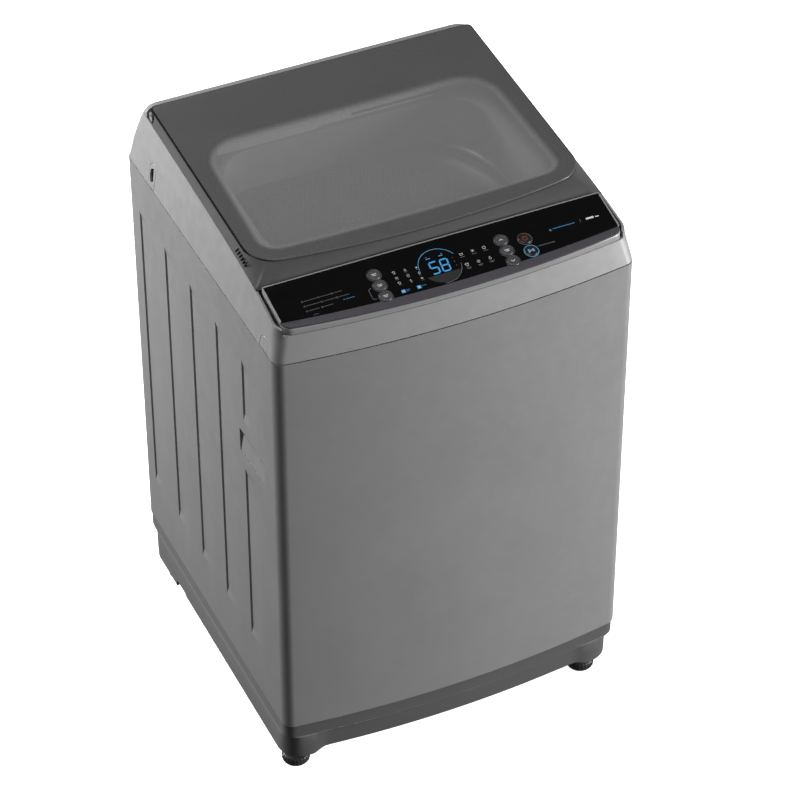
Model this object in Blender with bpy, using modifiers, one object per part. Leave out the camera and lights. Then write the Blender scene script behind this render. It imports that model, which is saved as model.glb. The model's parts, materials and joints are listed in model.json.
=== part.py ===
"""A top load washing machine, modelled in metres, +Z up.

The origin is on the floor under the middle of the machine. The front faces -Y and +X is on the
right of somebody who stands in front of it. Each physical piece is one object; pieces that move
have their origin on the axis that they turn about or slide along.
"""

from math import atan2, cos, pi, radians, sin, sqrt, tan

import bmesh
import bpy
from mathutils import Matrix, Vector

# Overall dimensions
HALF_WIDTH = 0.275
FRONT_Y = -0.2924  # the front's most forward line, at x = 0
REAR_Y = 0.2765
REAR_REACH = 0.2924  # how far back the water inlet port sticks out
BOW_RADIUS = 1.80  # the front is a shallow arc in plan
FRONT_CORNER = 0.018
REAR_CORNER = 0.021
PANEL_BOTTOM = 0.1165
SEAM_Z = 0.8062  # where the top frame meets the steel cabinet
GAP = 0.0003  # clearance between touching pieces
SHEET = 0.001  # sheet steel
WALL = 0.003  # moulded plastic

# Cabinet side embossing: five saw-tooth ribs, deep at the rear edge and flush at the front
RIB_STEPS = (0.2272, 0.1311, 0.0361, -0.0584, -0.1520)
RIB_LENGTH = 0.0565
RIB_DEPTH = 0.004
RIB_BOTTOM = 0.210
RIB_TOP = 0.730
RIB_FACET = 0.012
HANDLE_RIB = 4
HANDLE_BREAK = (0.5316, 0.6216)
HANDLE_Y = (-0.2250, -0.1355)
HANDLE_Z = (0.5550, 0.5955)
HANDLE_DEPTH = 0.024

# Top frame
CHEEK_TAPER = 0.18  # the cheeks lean inwards by this much per metre of height
REAR_TOP = (0.2200, 0.9095)  # y and z of the rear strip's front edge
REAR_LINE = ((SEAM_Z, REAR_Y), (0.8400, 0.2705), (0.8650, 0.2625), (0.8932, 0.2518), (0.9040, 0.2400))
CONSOLE_SEAM_Z = 0.8465
CHEEK_LINE = ((-0.3000, 0.8470), (-0.2604, 0.8564), (-0.1795, 0.8709), (-0.0501, 0.8824), (0.2152, 0.8961))
CHEEK_INNER_X = 0.2575
DECK_DROP = 0.036  # from the lid's top face down to the deck
DECK_FRONT_Y = -0.1800
RIM_BOTTOM = 0.803
RIM_WALL = 0.0028
MOUTH_HALF = 0.2025
MOUTH_FRONT_Y = -0.1710
MOUTH_REAR_Y = 0.1180

# Lid
LID_REAR_Y = 0.2166
LID_FRONT_Y = -0.1745
LID_FRONT_Z = 0.8904
LID_REAR_Z = 0.9124
LID_SLOPE = (LID_REAR_Z - LID_FRONT_Z) / (LID_REAR_Y - LID_FRONT_Y)
LID_TOP_HALF = 0.2530
LID_NOSE_Y = -0.1868
LID_NOSE_Z = 0.8760
GLASS = 0.003
HINGE_Y = 0.2116
HINGE_Z = 0.9060

# Console
CONSOLE_REAR = (-0.1898, 0.8764)
CONSOLE_SLOPE = 0.2270
CONSOLE_FRONT_Y = -0.2660
CONSOLE_HALF = 0.2540
GLASS_BOW = 2.20
BEZEL_FRONT_Y = -0.2820
STRIP_SLOPE = 0.135  # the dark strip in front of the glass lies a little flatter than the glass
TRIM_HALF = 0.2420
TRIM_THICK = 0.0022
BUTTON_RADIUS = 0.0092
BUTTONS = {
    "button_left_rear": (-0.1037, -0.2194),
    "button_left_middle": (-0.1037, -0.2388),
    "button_left_front": (-0.1037, -0.2582),
    "button_up": (0.0875, -0.2216),
    "button_select": (0.0875, -0.2410),
    "button_down": (0.0875, -0.2604),
    "button_power": (0.1200, -0.2303),
    "button_start": (0.1195, -0.2525),
}

# Water path, in the top and in the base
DISPENSER_X = (-0.200, 0.200)
DISPENSER_Y = (0.1270, 0.2015)
DISPENSER_HIGH = 0.0240
DRAWER_X = (-0.188, -0.036)
PORT_X = 0.150
PORT_Z = 0.835
DRAIN_AT = (-0.150, -0.050)
OUTLET_X = -0.150
OUTLET_Z = 0.0600
OUTLET_RADIUS = 0.0160

# Base and feet
BASE_BOTTOM = 0.0335
FRONT_BOTTOM = 0.0425
LIFT_Y = 0.147
BASE_TOP = PANEL_BOTTOM - GAP
SHELF_Z = 0.0860
FOOT_X = 0.2403
FOOT_Y = 0.2258
FOOT_RADIUS = 0.0213
NECK_TOP = 0.0325
FRONT_NECK_TOP = 0.0415

# Tub, basket and drive, all about the vertical axis through the origin
TUB_RADIUS = 0.250
TUB_BOTTOM = 0.225
TUB_TOP = 0.758
BASKET_RADIUS = 0.236
BASKET_BOTTOM = 0.250
BASKET_TOP = 0.717
ROD_OFFSET = 0.232
ROD_RADIUS = 0.004
CORNER_PLATE_Z = 0.783
MOTOR_Y = 0.165
BELT_Z = 0.131
LARGE_PULLEY = 0.095
SMALL_PULLEY = 0.025
BELT_DEPTH = 0.006
BELT_WIDTH = 0.008
ROUND = 40  # sides of a large round piece


# ---------------------------------------------------------------- scene helpers


def clear_scene():
    for old in list(bpy.data.objects):
        bpy.data.objects.remove(old, do_unlink=True)


def new_collection(name):
    made = bpy.data.collections.new(name)
    bpy.context.scene.collection.children.link(made)
    return made


clear_scene()
PARTS = new_collection("top_load_washing_machine")
CUTTERS = new_collection("cutters")


def material(name, colour, roughness, metallic=0.0, alpha=1.0):
    """One Principled material, made once and shared by the pieces of the same finish."""
    made = bpy.data.materials.get(name)
    if made:
        return made
    made = bpy.data.materials.new(name)
    made.use_nodes = True
    shader = made.node_tree.nodes["Principled BSDF"]
    shader.inputs["Base Color"].default_value = (*colour, 1.0)
    shader.inputs["Roughness"].default_value = roughness
    shader.inputs["Metallic"].default_value = metallic
    shader.inputs["Alpha"].default_value = alpha
    return made


def silver_paint():
    return material("silver_paint", (0.30, 0.30, 0.31), 0.42, 0.3)


def silver_plastic():
    return material("silver_plastic", (0.32, 0.32, 0.33), 0.4)


def dark_plastic():
    return material("dark_plastic", (0.09, 0.09, 0.095), 0.5)


def black_plastic():
    return material("black_plastic", (0.02, 0.02, 0.02), 0.55)


def smoked_glass():
    return material("smoked_glass", (0.12, 0.12, 0.12), 0.08, alpha=0.6)


def black_glass():
    return material("black_glass", (0.005, 0.005, 0.006), 0.06)


def white_plastic():
    return material("white_plastic", (0.75, 0.76, 0.77), 0.45)


def grey_plastic():
    return material("grey_plastic", (0.45, 0.47, 0.49), 0.5)


def stainless():
    return material("stainless", (0.62, 0.62, 0.61), 0.25, 1.0)


def zinc_steel():
    return material("zinc_steel", (0.50, 0.51, 0.52), 0.35, 1.0)


def cast_alloy():
    return material("cast_alloy", (0.55, 0.56, 0.57), 0.5, 1.0)


def rubber():
    return material("rubber", (0.025, 0.025, 0.025), 0.8)


def board_green():
    return material("board_green", (0.02, 0.16, 0.07), 0.5)


def add_object(name, mesh, finish=None):
    """Links a mesh: a finished piece goes with the parts, and a shape with no finish is a tool."""
    made = bpy.data.objects.new(name, mesh)
    if finish:
        PARTS.objects.link(made)
        mesh.materials.append(finish)
    else:
        CUTTERS.objects.link(made)
        made.hide_render = True
        made.display_type = "WIRE"
    return made


def mesh_of(name, body):
    bmesh.ops.recalc_face_normals(body, faces=body.faces)
    mesh = bpy.data.meshes.new(name)
    body.to_mesh(mesh)
    body.free()
    return mesh


def smooth(piece, angle=35):
    piece.data.shade_smooth()
    piece.data.set_sharp_from_angle(angle=radians(angle))


def box(name, low, high, finish=None):
    body = bmesh.new()
    size = [b - a for a, b in zip(low, high)]
    middle = [(a + b) / 2 for a, b in zip(low, high)]
    bmesh.ops.create_cube(body, size=1.0, matrix=Matrix.Translation(middle) @ Matrix.Diagonal((*size, 1.0)))
    return add_object(name, mesh_of(name, body), finish)


def cylinder(name, radius, low, high, at=(0.0, 0.0), finish=None, sides=24, top_radius=None):
    """A cylinder or cone along Z between two heights."""
    body = bmesh.new()
    place = Matrix.Translation((at[0], at[1], (low + high) / 2))
    bmesh.ops.create_cone(
        body,
        cap_ends=True,
        segments=sides,
        radius1=radius,
        radius2=radius if top_radius is None else top_radius,
        depth=high - low,
        matrix=place,
    )
    return add_object(name, mesh_of(name, body), finish)


def turned(name, profile, finish=None, at=(0.0, 0.0), sides=ROUND):
    """A closed profile of (radius, height) points turned about a vertical axis with Screw."""
    corners = list(profile)
    area = sum(r0 * z1 - r1 * z0 for (r0, z0), (r1, z1) in zip(corners, corners[1:] + corners[:1]))
    if area > 0:
        corners.reverse()  # the outer side has to run from top to bottom
    body = bmesh.new()
    verts = [body.verts.new((r, 0.0, z)) for r, z in corners]
    for first, second in zip(verts, verts[1:]):
        body.edges.new((first, second))
    if min(r for r, z in corners) > 0:
        body.edges.new((verts[-1], verts[0]))
    mesh = bpy.data.meshes.new(name)
    body.to_mesh(mesh)
    body.free()
    piece = add_object(name, mesh, finish)
    piece.location = (at[0], at[1], 0.0)
    screw = piece.modifiers.new("turn", "SCREW")
    screw.steps = sides
    screw.render_steps = sides
    screw.use_merge_vertices = True
    screw.merge_threshold = 0.00001
    return piece


AXES = {
    "xy": Matrix.Identity(4),
    "yz": Matrix(((0, 0, 1, 0), (1, 0, 0, 0), (0, 1, 0, 0), (0, 0, 0, 1))),
    "xz": Matrix(((1, 0, 0, 0), (0, 0, -1, 0), (0, 1, 0, 0), (0, 0, 0, 1))),
}


def plate(name, outlines, low, high, plane="xy", finish=None):
    """Flat outlines in a plane, as thick as low to high across it; a second outline is a hole.

    In the yz plane the thickness runs along X, and in the xz plane it runs along -Y.
    """
    curve = bpy.data.curves.new(name, "CURVE")
    curve.dimensions = "2D"
    curve.fill_mode = "BOTH"
    curve.extrude = (high - low) / 2
    for outline in outlines:
        line = curve.splines.new("POLY")
        line.points.add(len(outline) - 1)
        for point, (u, v) in zip(line.points, outline):
            point.co = (u, v, 0.0, 1.0)
        line.use_cyclic_u = True
    flat = bpy.data.objects.new(name + "_outline", curve)
    CUTTERS.objects.link(flat)
    return mesh_from_curve(name, flat, AXES[plane] @ Matrix.Translation((0, 0, (low + high) / 2)), finish)


def mesh_from_curve(name, curve_object, place, finish):
    bpy.context.view_layer.update()
    seen = curve_object.evaluated_get(bpy.context.evaluated_depsgraph_get())
    mesh = bpy.data.meshes.new_from_object(seen)
    mesh.name = name
    mesh.materials.clear()
    body = bmesh.new()
    body.from_mesh(mesh)
    bmesh.ops.remove_doubles(body, verts=body.verts, dist=0.00001)
    bmesh.ops.transform(body, matrix=place, verts=body.verts)
    bmesh.ops.recalc_face_normals(body, faces=body.faces)
    body.to_mesh(mesh)
    body.free()
    bpy.data.objects.remove(curve_object, do_unlink=True)
    return add_object(name, mesh, finish)


def tube(name, points, radius, finish=None, sides=2):
    """A round rod or hose along points."""
    curve = bpy.data.curves.new(name, "CURVE")
    curve.dimensions = "3D"
    curve.bevel_depth = radius
    curve.bevel_resolution = sides
    curve.use_fill_caps = True
    line = curve.splines.new("POLY")
    line.points.add(len(points) - 1)
    for point, place in zip(line.points, points):
        point.co = (*place, 1.0)
    path = bpy.data.objects.new(name + "_path", curve)
    CUTTERS.objects.link(path)
    return mesh_from_curve(name, path, Matrix.Identity(4), finish)


def loft(name, rings, finish=None):
    """A closed body through rings of equally many points, capped at both ends."""
    body = bmesh.new()
    levels = [[body.verts.new(point) for point in ring] for ring in rings]
    for lower, upper in zip(levels, levels[1:]):
        for i in range(len(lower)):
            j = (i + 1) % len(lower)
            body.faces.new((lower[i], lower[j], upper[j], upper[i]))
    body.faces.new(levels[0])
    body.faces.new(levels[-1])
    return add_object(name, mesh_of(name, body), finish)


def boolean(piece, other, operation):
    step = piece.modifiers.new(other.name, "BOOLEAN")
    step.operation = operation
    step.solver = "EXACT"
    step.object = other


def cut(piece, *tools):
    for tool in tools:
        boolean(piece, tool, "DIFFERENCE")


def join(piece, *additions):
    for addition in additions:
        boolean(piece, addition, "UNION")


def set_origin(piece, place):
    """Moves a piece's origin to its joint's axis and leaves its surface where it is."""
    offset = Vector(place) - piece.location
    piece.data.transform(Matrix.Translation(-offset))
    piece.location = place


# ---------------------------------------------------------------- outlines


def fillet(before, corner, after, radius, steps):
    """Points of the arc that rounds the corner between two straight stretches."""
    corner = Vector(corner)
    u = (Vector(before) - corner).normalized()
    v = (Vector(after) - corner).normalized()
    half = u.angle(v) / 2
    centre = corner + (u + v).normalized() * (radius / sin(half))
    first = corner + u * (radius / tan(half)) - centre
    last = corner + v * (radius / tan(half)) - centre
    start = atan2(first.y, first.x)
    sweep = (atan2(last.y, last.x) - start + pi) % (2 * pi) - pi
    angles = [start + sweep * i / steps for i in range(steps + 1)]
    return [(centre.x + radius * cos(a), centre.y + radius * sin(a)) for a in angles]


def bow_y(x, front_y=FRONT_Y):
    return front_y + x * x / (2 * BOW_RADIUS)


def front_corner(half, front_y, radius, steps=5):
    """The arc between the left side, at x = -half, and the bowed front."""
    corner = (-half, bow_y(half, front_y))
    inner = -half + 1.3 * radius
    return fillet((-half, corner[1] + 0.1), corner, (inner, bow_y(inner, front_y)), radius, steps)


def plan_outline(half, front_y, rear_y, front_radius, rear_radius, bow_steps=10):
    """The machine's outline from above, counter-clockwise from the left rear corner."""
    left_rear = fillet((0.0, rear_y), (-half, rear_y), (-half, rear_y - 0.1), rear_radius, 4)
    left_front = front_corner(half, front_y, front_radius)
    start = left_front[-1][0]
    bow = [start + (-2 * start) * i / bow_steps for i in range(1, bow_steps)]
    front = [(x, bow_y(x, front_y)) for x in bow]
    right = [(-x, y) for x, y in reversed(left_rear + left_front)]
    return left_rear + left_front + front + right


def rounded_rectangle(half_x, low_y, high_y, radius, steps=5, middle=0.0):
    corners = [(-half_x, high_y), (-half_x, low_y), (half_x, low_y), (half_x, high_y)]
    corners = [(x + middle, y) for x, y in corners]
    outline = []
    for i, corner in enumerate(corners):
        outline += fillet(corners[i - 1], corner, corners[(i + 1) % 4], radius, steps)
    return outline


def circle(radius, at=(0.0, 0.0), steps=24, start=0.0, stop=2 * pi):
    count = steps if abs(stop - start) > 6.28 else steps + 1
    angles = [start + (stop - start) * i / steps for i in range(count)]
    return [(at[0] + radius * cos(a), at[1] + radius * sin(a)) for a in angles]


def interpolate(line, position):
    """The height of a line of (position, height) points, held level beyond its ends."""
    for (a, low), (b, high) in zip(line, line[1:]):
        if position <= b:
            return low + (high - low) * max(0.0, position - a) / (b - a)
    return line[-1][1]


def arch(low_y, high_y, low_z, high_z, steps=6):
    """A slot with a round top, as (y, z) points."""
    middle = (low_y + high_y) / 2
    radius = (high_y - low_y) / 2
    top = circle(radius, (middle, high_z - radius), steps, 0.0, pi)
    return [(low_y, low_z), (high_y, low_z)] + top


# ---------------------------------------------------------------- shape of the top


def side_x(z):
    return HALF_WIDTH - CHEEK_TAPER * max(0.0, z - SEAM_Z)


def rear_y(z):
    """The top frame's back bends forwards as it rises."""
    return interpolate(REAR_LINE + (REAR_TOP[::-1],), z)


def frame_front(z):
    """The fascia's front leans back a little between its two seams."""
    return interpolate(((SEAM_Z, FRONT_Y), (CONSOLE_SEAM_Z, BEZEL_FRONT_Y)), z)


def lid_z(y):
    """Height of the lid's top face."""
    return LID_FRONT_Z + (y - LID_FRONT_Y) * LID_SLOPE


def deck_z(y):
    return lid_z(y) - DECK_DROP


def console_z(y):
    return CONSOLE_REAR[1] + (y - CONSOLE_REAR[0]) * CONSOLE_SLOPE


def cheek_z(y):
    """Height of the cheek's top edge."""
    return interpolate(CHEEK_LINE, y)


def lean(piece, side):
    """Shears a piece on a cheek so that it follows the cheek's inward lean."""
    for vertex in piece.data.vertices:
        vertex.co.x -= side * CHEEK_TAPER * (vertex.co.z - SEAM_Z)


# ---------------------------------------------------------------- cabinet


def wrap_columns():
    """Columns of the sheet from the left rear flange to the front's middle: x, y, emboss, is handle rib."""
    rear = fillet((0.0, REAR_Y), (-HALF_WIDTH, REAR_Y), (-HALF_WIDTH, 0.0), REAR_CORNER, 4)
    columns = [(-0.238, REAR_Y, 0.0, False)] + [(x, y, 0.0, False) for x, y in rear]
    for index, step in enumerate(RIB_STEPS):
        handle = index == HANDLE_RIB
        if handle:
            columns.append((-HALF_WIDTH, HANDLE_Y[1], 0.0, False))
        columns.append((-HALF_WIDTH, step + 0.0008, 0.0, False))
        columns.append((-HALF_WIDTH, step, 1.0, handle))
        columns.append((-HALF_WIDTH, step - RIB_LENGTH, 0.0, False))
        if handle:
            columns.append((-HALF_WIDTH, HANDLE_Y[0], 0.0, False))
    corner = front_corner(HALF_WIDTH, FRONT_Y, FRONT_CORNER)
    columns += [(x, y, 0.0, False) for x, y in corner]
    start = corner[-1][0]
    columns += [(start * (1 - i / 5), bow_y(start * (1 - i / 5)), 0.0, False) for i in range(1, 6)]
    return columns


def wrap_levels():
    """Heights of the sheet's rows, with how deep the plain ribs and the handle rib are there."""
    low, high = HANDLE_BREAK
    return [
        (PANEL_BOTTOM, 0.0, 0.0),
        (RIB_BOTTOM, 0.0, 0.0),
        (RIB_BOTTOM + RIB_FACET, 1.0, 1.0),
        (low - RIB_FACET, 1.0, 1.0),
        (low, 1.0, 0.0),
        (HANDLE_Z[0], 1.0, 0.0),
        (HANDLE_Z[1], 1.0, 0.0),
        (high, 1.0, 0.0),
        (high + RIB_FACET, 1.0, 1.0),
        (RIB_TOP - RIB_FACET, 1.0, 1.0),
        (RIB_TOP, 0.0, 0.0),
        (SEAM_Z, 0.0, 0.0),
    ]


def in_handle(points):
    y = sum(p[1] for p in points) / 4
    z = sum(p[2] for p in points) / 4
    x = sum(abs(p[0]) for p in points) / 4
    return x > 0.26 and HANDLE_Y[0] < y < HANDLE_Y[1] and HANDLE_Z[0] < z < HANDLE_Z[1]


def corner_plate(side_y, front):
    """A welded gusset in a left top corner of the cabinet, drawn inside the sheet's thickness."""
    inset = SHEET / 2
    side = -HALF_WIDTH + inset
    if front:
        edge = front_corner(-side, FRONT_Y + inset, FRONT_CORNER - inset)
        far_x = -0.150
        return [(side, side_y)] + edge + [(far_x, bow_y(far_x, FRONT_Y + inset))]
    rear = REAR_Y - inset
    clear = REAR_Y - 2 * SHEET - 4 * GAP
    edge = fillet((0.0, rear), (side, rear), (side, 0.0), REAR_CORNER - inset, 4)
    return [(-0.165, clear), (-0.2548, clear)] + edge + [(side, side_y)]


def cabinet_wrap():
    """One sheet that makes the left side, the bowed front and the right side."""
    columns = wrap_columns()
    mirrored = [(-x, y, emboss, handle) for x, y, emboss, handle in reversed(columns[:-1])]
    columns = columns + mirrored
    body = bmesh.new()
    rows = []
    for z, plain, special in wrap_levels():
        row = []
        for x, y, emboss, handle in columns:
            depth = RIB_DEPTH * emboss * (special if handle else plain)
            row.append(body.verts.new((x - depth * (1 if x > 0 else -1), y, z)))
        rows.append(row)
    for lower, upper in zip(rows, rows[1:]):
        for i in range(len(lower) - 1):
            corners = (lower[i], lower[i + 1], upper[i + 1], upper[i])
            if not in_handle([v.co for v in corners]):
                body.faces.new(corners)
    mesh = bpy.data.meshes.new("cabinet_wrap")
    body.to_mesh(mesh)
    body.free()
    piece = add_object("cabinet_wrap", mesh, silver_paint())
    skin = piece.modifiers.new("sheet", "SOLIDIFY")
    skin.thickness = SHEET
    skin.offset = -1.0
    for side in (-1, 1):
        for front in (True, False):
            outline = corner_plate(-0.140 if front else 0.165, front)
            outline = [(-side * x, y) for x, y in outline]
            hole = circle(0.0075, (side * ROD_OFFSET, -ROD_OFFSET if front else ROD_OFFSET), 16)
            gusset = plate(f"gusset_{side}_{front}", [outline, hole], CORNER_PLATE_Z, CORNER_PLATE_Z + 0.0015)
            join(piece, gusset)
    smooth(piece)
    return piece


def back_panel():
    """The rear sheet, screwed inside the wrap's flanges, with two stiffening recesses."""
    xs = [-0.2535, -0.205, -0.200, -0.030, -0.025]
    xs = xs + [-x for x in reversed(xs)]
    zs = [PANEL_BOTTOM + 0.001, 0.170, 0.178, 0.440, 0.448, 0.480, 0.488, 0.735, 0.743, SEAM_Z - 0.001]
    deep_columns = (2, 3, 6, 7)
    deep_rows = (2, 3, 6, 7)
    surface = REAR_Y - SHEET - GAP
    body = bmesh.new()
    rows = []
    for k, z in enumerate(zs):
        depth = [0.005 if i in deep_columns and k in deep_rows else 0.0 for i in range(len(xs))]
        rows.append([body.verts.new((x, surface - d, z)) for x, d in zip(xs, depth)])
    for lower, upper in zip(rows, rows[1:]):
        for i in range(len(lower) - 1):
            body.faces.new((lower[i + 1], lower[i], upper[i], upper[i + 1]))
    mesh = bpy.data.meshes.new("back_panel")
    body.to_mesh(mesh)
    body.free()
    piece = add_object("back_panel", mesh, zinc_steel())
    skin = piece.modifiers.new("sheet", "SOLIDIFY")
    skin.thickness = SHEET
    skin.offset = -1.0
    return piece


def carry_handle(name, side):
    """A finger cup behind the opening in a side panel: deep at the top, flush at the bottom."""
    gap = 0.0015
    inner_y = (HANDLE_Y[0] + gap, HANDLE_Y[1] - gap)
    face = HALF_WIDTH - SHEET - GAP
    low, high = HANDLE_Z[0] + gap, HANDLE_Z[1] - gap
    flange = 0.006
    outer = [(face, low - flange), (face, high + flange), (face - 0.002, high + flange)]
    outer += [(face - HANDLE_DEPTH - 0.002, high + 0.002), (face - HANDLE_DEPTH - 0.002, high - 0.008)]
    outer += [(face - 0.0025, low - flange)]
    outer = [(side * x, z) for x, z in outer]
    piece = plate(name, [outer], -inner_y[1] - flange, -inner_y[0] + flange, "xz", silver_plastic())
    hollow = [(face + 0.01, low), (face + 0.01, high), (face - HANDLE_DEPTH, high)]
    hollow += [(face - HANDLE_DEPTH, high - 0.006), (face - 0.0005, low)]
    cut(piece, plate(name + "_hollow", [[(side * x, z) for x, z in hollow]], -inner_y[1], -inner_y[0], "xz"))
    return piece


# ---------------------------------------------------------------- base and feet


def level(outline, z):
    return [(x, y, z) for x, y in outline]


def base_outlines(inset):
    band = plan_outline(0.2738 - inset, -0.2905 + inset, 0.2750 - inset, 0.020 - inset / 2, 0.021 - inset / 2)
    skirt = plan_outline(0.2722 - inset, -0.2810 + inset, 0.2735 - inset, 0.040 - inset, 0.040 - inset)
    return band, skirt


def smooth_step(t):
    t = min(1.0, max(0.0, t))
    return t * t * (3 - 2 * t)


def arch_profile(half, ramp, height, steps=6):
    """The underside of the base between two feet, as (across, z) points of a cutter."""
    shares = [i / steps for i in range(steps + 1)]
    left = [(-half + ramp * share, FRONT_BOTTOM - 0.001 + height * smooth_step(share)) for share in shares]
    return left + [(-u, z) for u, z in reversed(left)] + [(half, 0.0), (-half, 0.0)]


def base_plinth():
    """The moulded base: an upper band under the panels, a lower skirt, and a shelf with a boss per foot."""
    band, skirt = base_outlines(0.0)
    rings = [(skirt, BASE_BOTTOM), (skirt, SHELF_Z - 0.001), (band, SHELF_Z + 0.0055), (band, BASE_TOP)]
    piece = loft("base_plinth", [level(outline, z) for outline, z in rings], dark_plastic())
    inner_band, inner_skirt = base_outlines(0.004)
    cut(
        piece,
        loft("base_inside_low", [level(inner_skirt, 0.0), level(inner_skirt, SHELF_Z)]),
        loft("base_inside_high", [level(inner_band, SHELF_Z + 0.004), level(inner_band, 0.200)]),
        loft("base_well", [level(rounded_rectangle(0.205, -0.190, 0.190, 0.030), z) for z in (0.0, 0.200)]),
    )
    for x in (-FOOT_X, FOOT_X):
        for y in (-FOOT_Y, FOOT_Y):
            join(piece, cylinder("foot_boss", 0.0170, BASE_BOTTOM + 0.001, SHELF_Z + 0.002, (x, y)))
            cut(piece, cylinder("foot_thread", 0.0045, 0.0, 0.0800, (x, y), sides=16))
    front = arch_profile(0.234, 0.026, 0.0070)
    cut(piece, plate("front_arch", [front], 0.20, 0.31, "xz"))
    notch = [(0.127, 0.0), (0.167, 0.0), (0.167, 0.0345), (0.160, 0.0465), (0.134, 0.0465), (0.127, 0.0345)]
    cut(piece, plate("side_notch", [notch], -0.30, 0.30, "yz"))
    lift = [(-0.31, 0.0), (LIFT_Y, 0.0), (LIFT_Y, FRONT_BOTTOM), (-0.31, FRONT_BOTTOM)]
    cut(piece, plate("front_lift", [lift], -0.30, 0.30, "yz"))
    outlet = along_y(cylinder("outlet_hole", OUTLET_RADIUS + 0.0008, 0.255, 0.300, sides=20))
    outlet.data.transform(Matrix.Translation((OUTLET_X, 0.0, OUTLET_Z)))
    cut(piece, outlet)
    smooth(piece)
    return piece


def foot(name, x, y):
    """A levelling foot: a round pad under a thick neck, with a threaded stem."""
    neck = FRONT_NECK_TOP if y < 0 else NECK_TOP
    profile = [(0.0, 0.0760), (0.0040, 0.0760), (0.0040, neck), (0.0130, neck), (0.0130, 0.0150)]
    profile += [(0.0190, 0.0120), (FOOT_RADIUS, 0.0100), (FOOT_RADIUS, 0.0025), (0.0190, 0.0), (0.0, 0.0)]
    return turned(name, profile, black_plastic(), (x, y), 16)


# ---------------------------------------------------------------- top frame


def mouth_outline(grow=0.0):
    """The opening over the basket: wide round corners in front and tighter ones at the rear."""
    half = MOUTH_HALF + grow
    low, high = MOUTH_FRONT_Y - grow, MOUTH_REAR_Y + grow
    rear = fillet((0.0, high), (-half, high), (-half, 0.0), 0.060 + grow, 6)
    front = fillet((-half, 0.0), (-half, low), (0.0, low), 0.115 + grow, 9)
    left = rear + front
    return left + [(-x, y) for x, y in reversed(left)]


def frame_ring(z, inset=0.0):
    front = frame_front(z) + inset
    return level(plan_outline(side_x(z) - inset, front, rear_y(z) - inset, 0.021, 0.024 - inset / 2), z)


def cheek_cutter(name, low_x, high_x):
    above = list(CHEEK_LINE) + [(0.2350, 0.8958), (0.2518, 0.8938), (0.31, 0.8900), (0.31, 1.0), (-0.30, 1.0)]
    return plate(name, [above], low_x, high_x, "yz")


def top_frame():
    """The plastic top: front fascia, two cheeks, rear strip, and the deck round the mouth."""
    heights = (SEAM_Z + GAP, 0.8200, CONSOLE_SEAM_Z, 0.8650, 0.8932, 0.9040, REAR_TOP[1])
    piece = loft("top_frame", [frame_ring(z) for z in heights], silver_plastic())
    cut(piece, cheek_cutter("left_cheek", -0.30, -0.2570), cheek_cutter("right_cheek", 0.2570, 0.30))
    rear = REAR_TOP[0]
    console_back = DECK_FRONT_Y - WALL
    recess = [(-0.31, CONSOLE_SEAM_Z), (console_back, CONSOLE_SEAM_Z), (console_back, deck_z(console_back))]
    recess += [(rear, deck_z(rear)), (rear, 1.0), (-0.31, 1.0)]
    cut(piece, plate("lid_recess", [recess], -CHEEK_INNER_X, CHEEK_INNER_X, "yz"))
    levels = (0.7900, 0.8200, CONSOLE_SEAM_Z, 0.8650, 0.8800)
    inside = loft("frame_inside", [frame_ring(z, WALL) for z in levels])
    deck_under = [(console_back, 0.8200), (DECK_FRONT_Y, 0.8200), (DECK_FRONT_Y, deck_z(DECK_FRONT_Y) - WALL)]
    deck_under += [(0.31, deck_z(0.31) - WALL), (0.31, 1.0), (console_back, 1.0)]
    cut(inside, plate("deck_slab", [deck_under], -0.31, 0.31, "yz"))
    cut(piece, inside)
    rim = mouth_outline(RIM_WALL)
    join(piece, loft("mouth_throat", [level(rim, RIM_BOTTOM), [(x, y, deck_z(y) - 0.001) for x, y in rim]]))
    cut(piece, loft("mouth_cut", [level(mouth_outline(), z) for z in (0.700, 0.900)]))
    for side in (-1, 1):
        low_x, high_x = sorted((side * 0.2532, side * 0.2572))
        join(piece, box(f"hinge_ear_{side}", (low_x, 0.2045, 0.8900), (high_x, 0.2230, 0.9086)))
        cut(piece, hinge_rod(f"ear_bore_{side}", side, 0.0029, 0.2500, 0.2620))
        hole = plate(f"cap_hole_{side}", [cap_outline(0.0)], *sorted((side * 0.268, side * 0.280)), "yz")
        lean(hole, side)
        cut(piece, hole)
    slot = plate("gland_hole", [gland_outline(0.0)], -0.290, -0.262, "yz")
    lean(slot, -1)
    cut(piece, slot)
    cut(piece, port_hole())
    smooth(piece, 30)
    return piece


def cap_outline(shrink):
    return arch(-0.2437 + shrink, -0.2187 - shrink, SEAM_Z + 0.0015 + shrink, 0.8284 - shrink)


def gland_outline(shrink):
    return arch(0.1640 + shrink, 0.1870 - shrink, SEAM_Z + 0.0015 + shrink, 0.8470 - shrink)


def side_cap(name, side):
    """The plug over the hole that a long screw goes through, flush with the cheek."""
    low_x, high_x = sorted((side * (HALF_WIDTH - 0.0026), side * (HALF_WIDTH - 0.0001)))
    piece = plate(name, [cap_outline(GAP)], low_x, high_x, "yz", silver_plastic())
    lean(piece, side)
    return piece


def cord_gland():
    """The insert in the left cheek's slot: a frame round a black window that a cord would leave by."""
    piece = plate("cord_gland", [gland_outline(GAP)], -0.2748, -0.2715, "yz", silver_plastic())
    window = [(0.1690, 0.8150), (0.1820, 0.8150), (0.1820, 0.8330), (0.1690, 0.8330)]
    cut(piece, plate("gland_window", [window], -0.29, -0.26, "yz"))
    lean(piece, -1)
    return piece


# ---------------------------------------------------------------- lid


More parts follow.
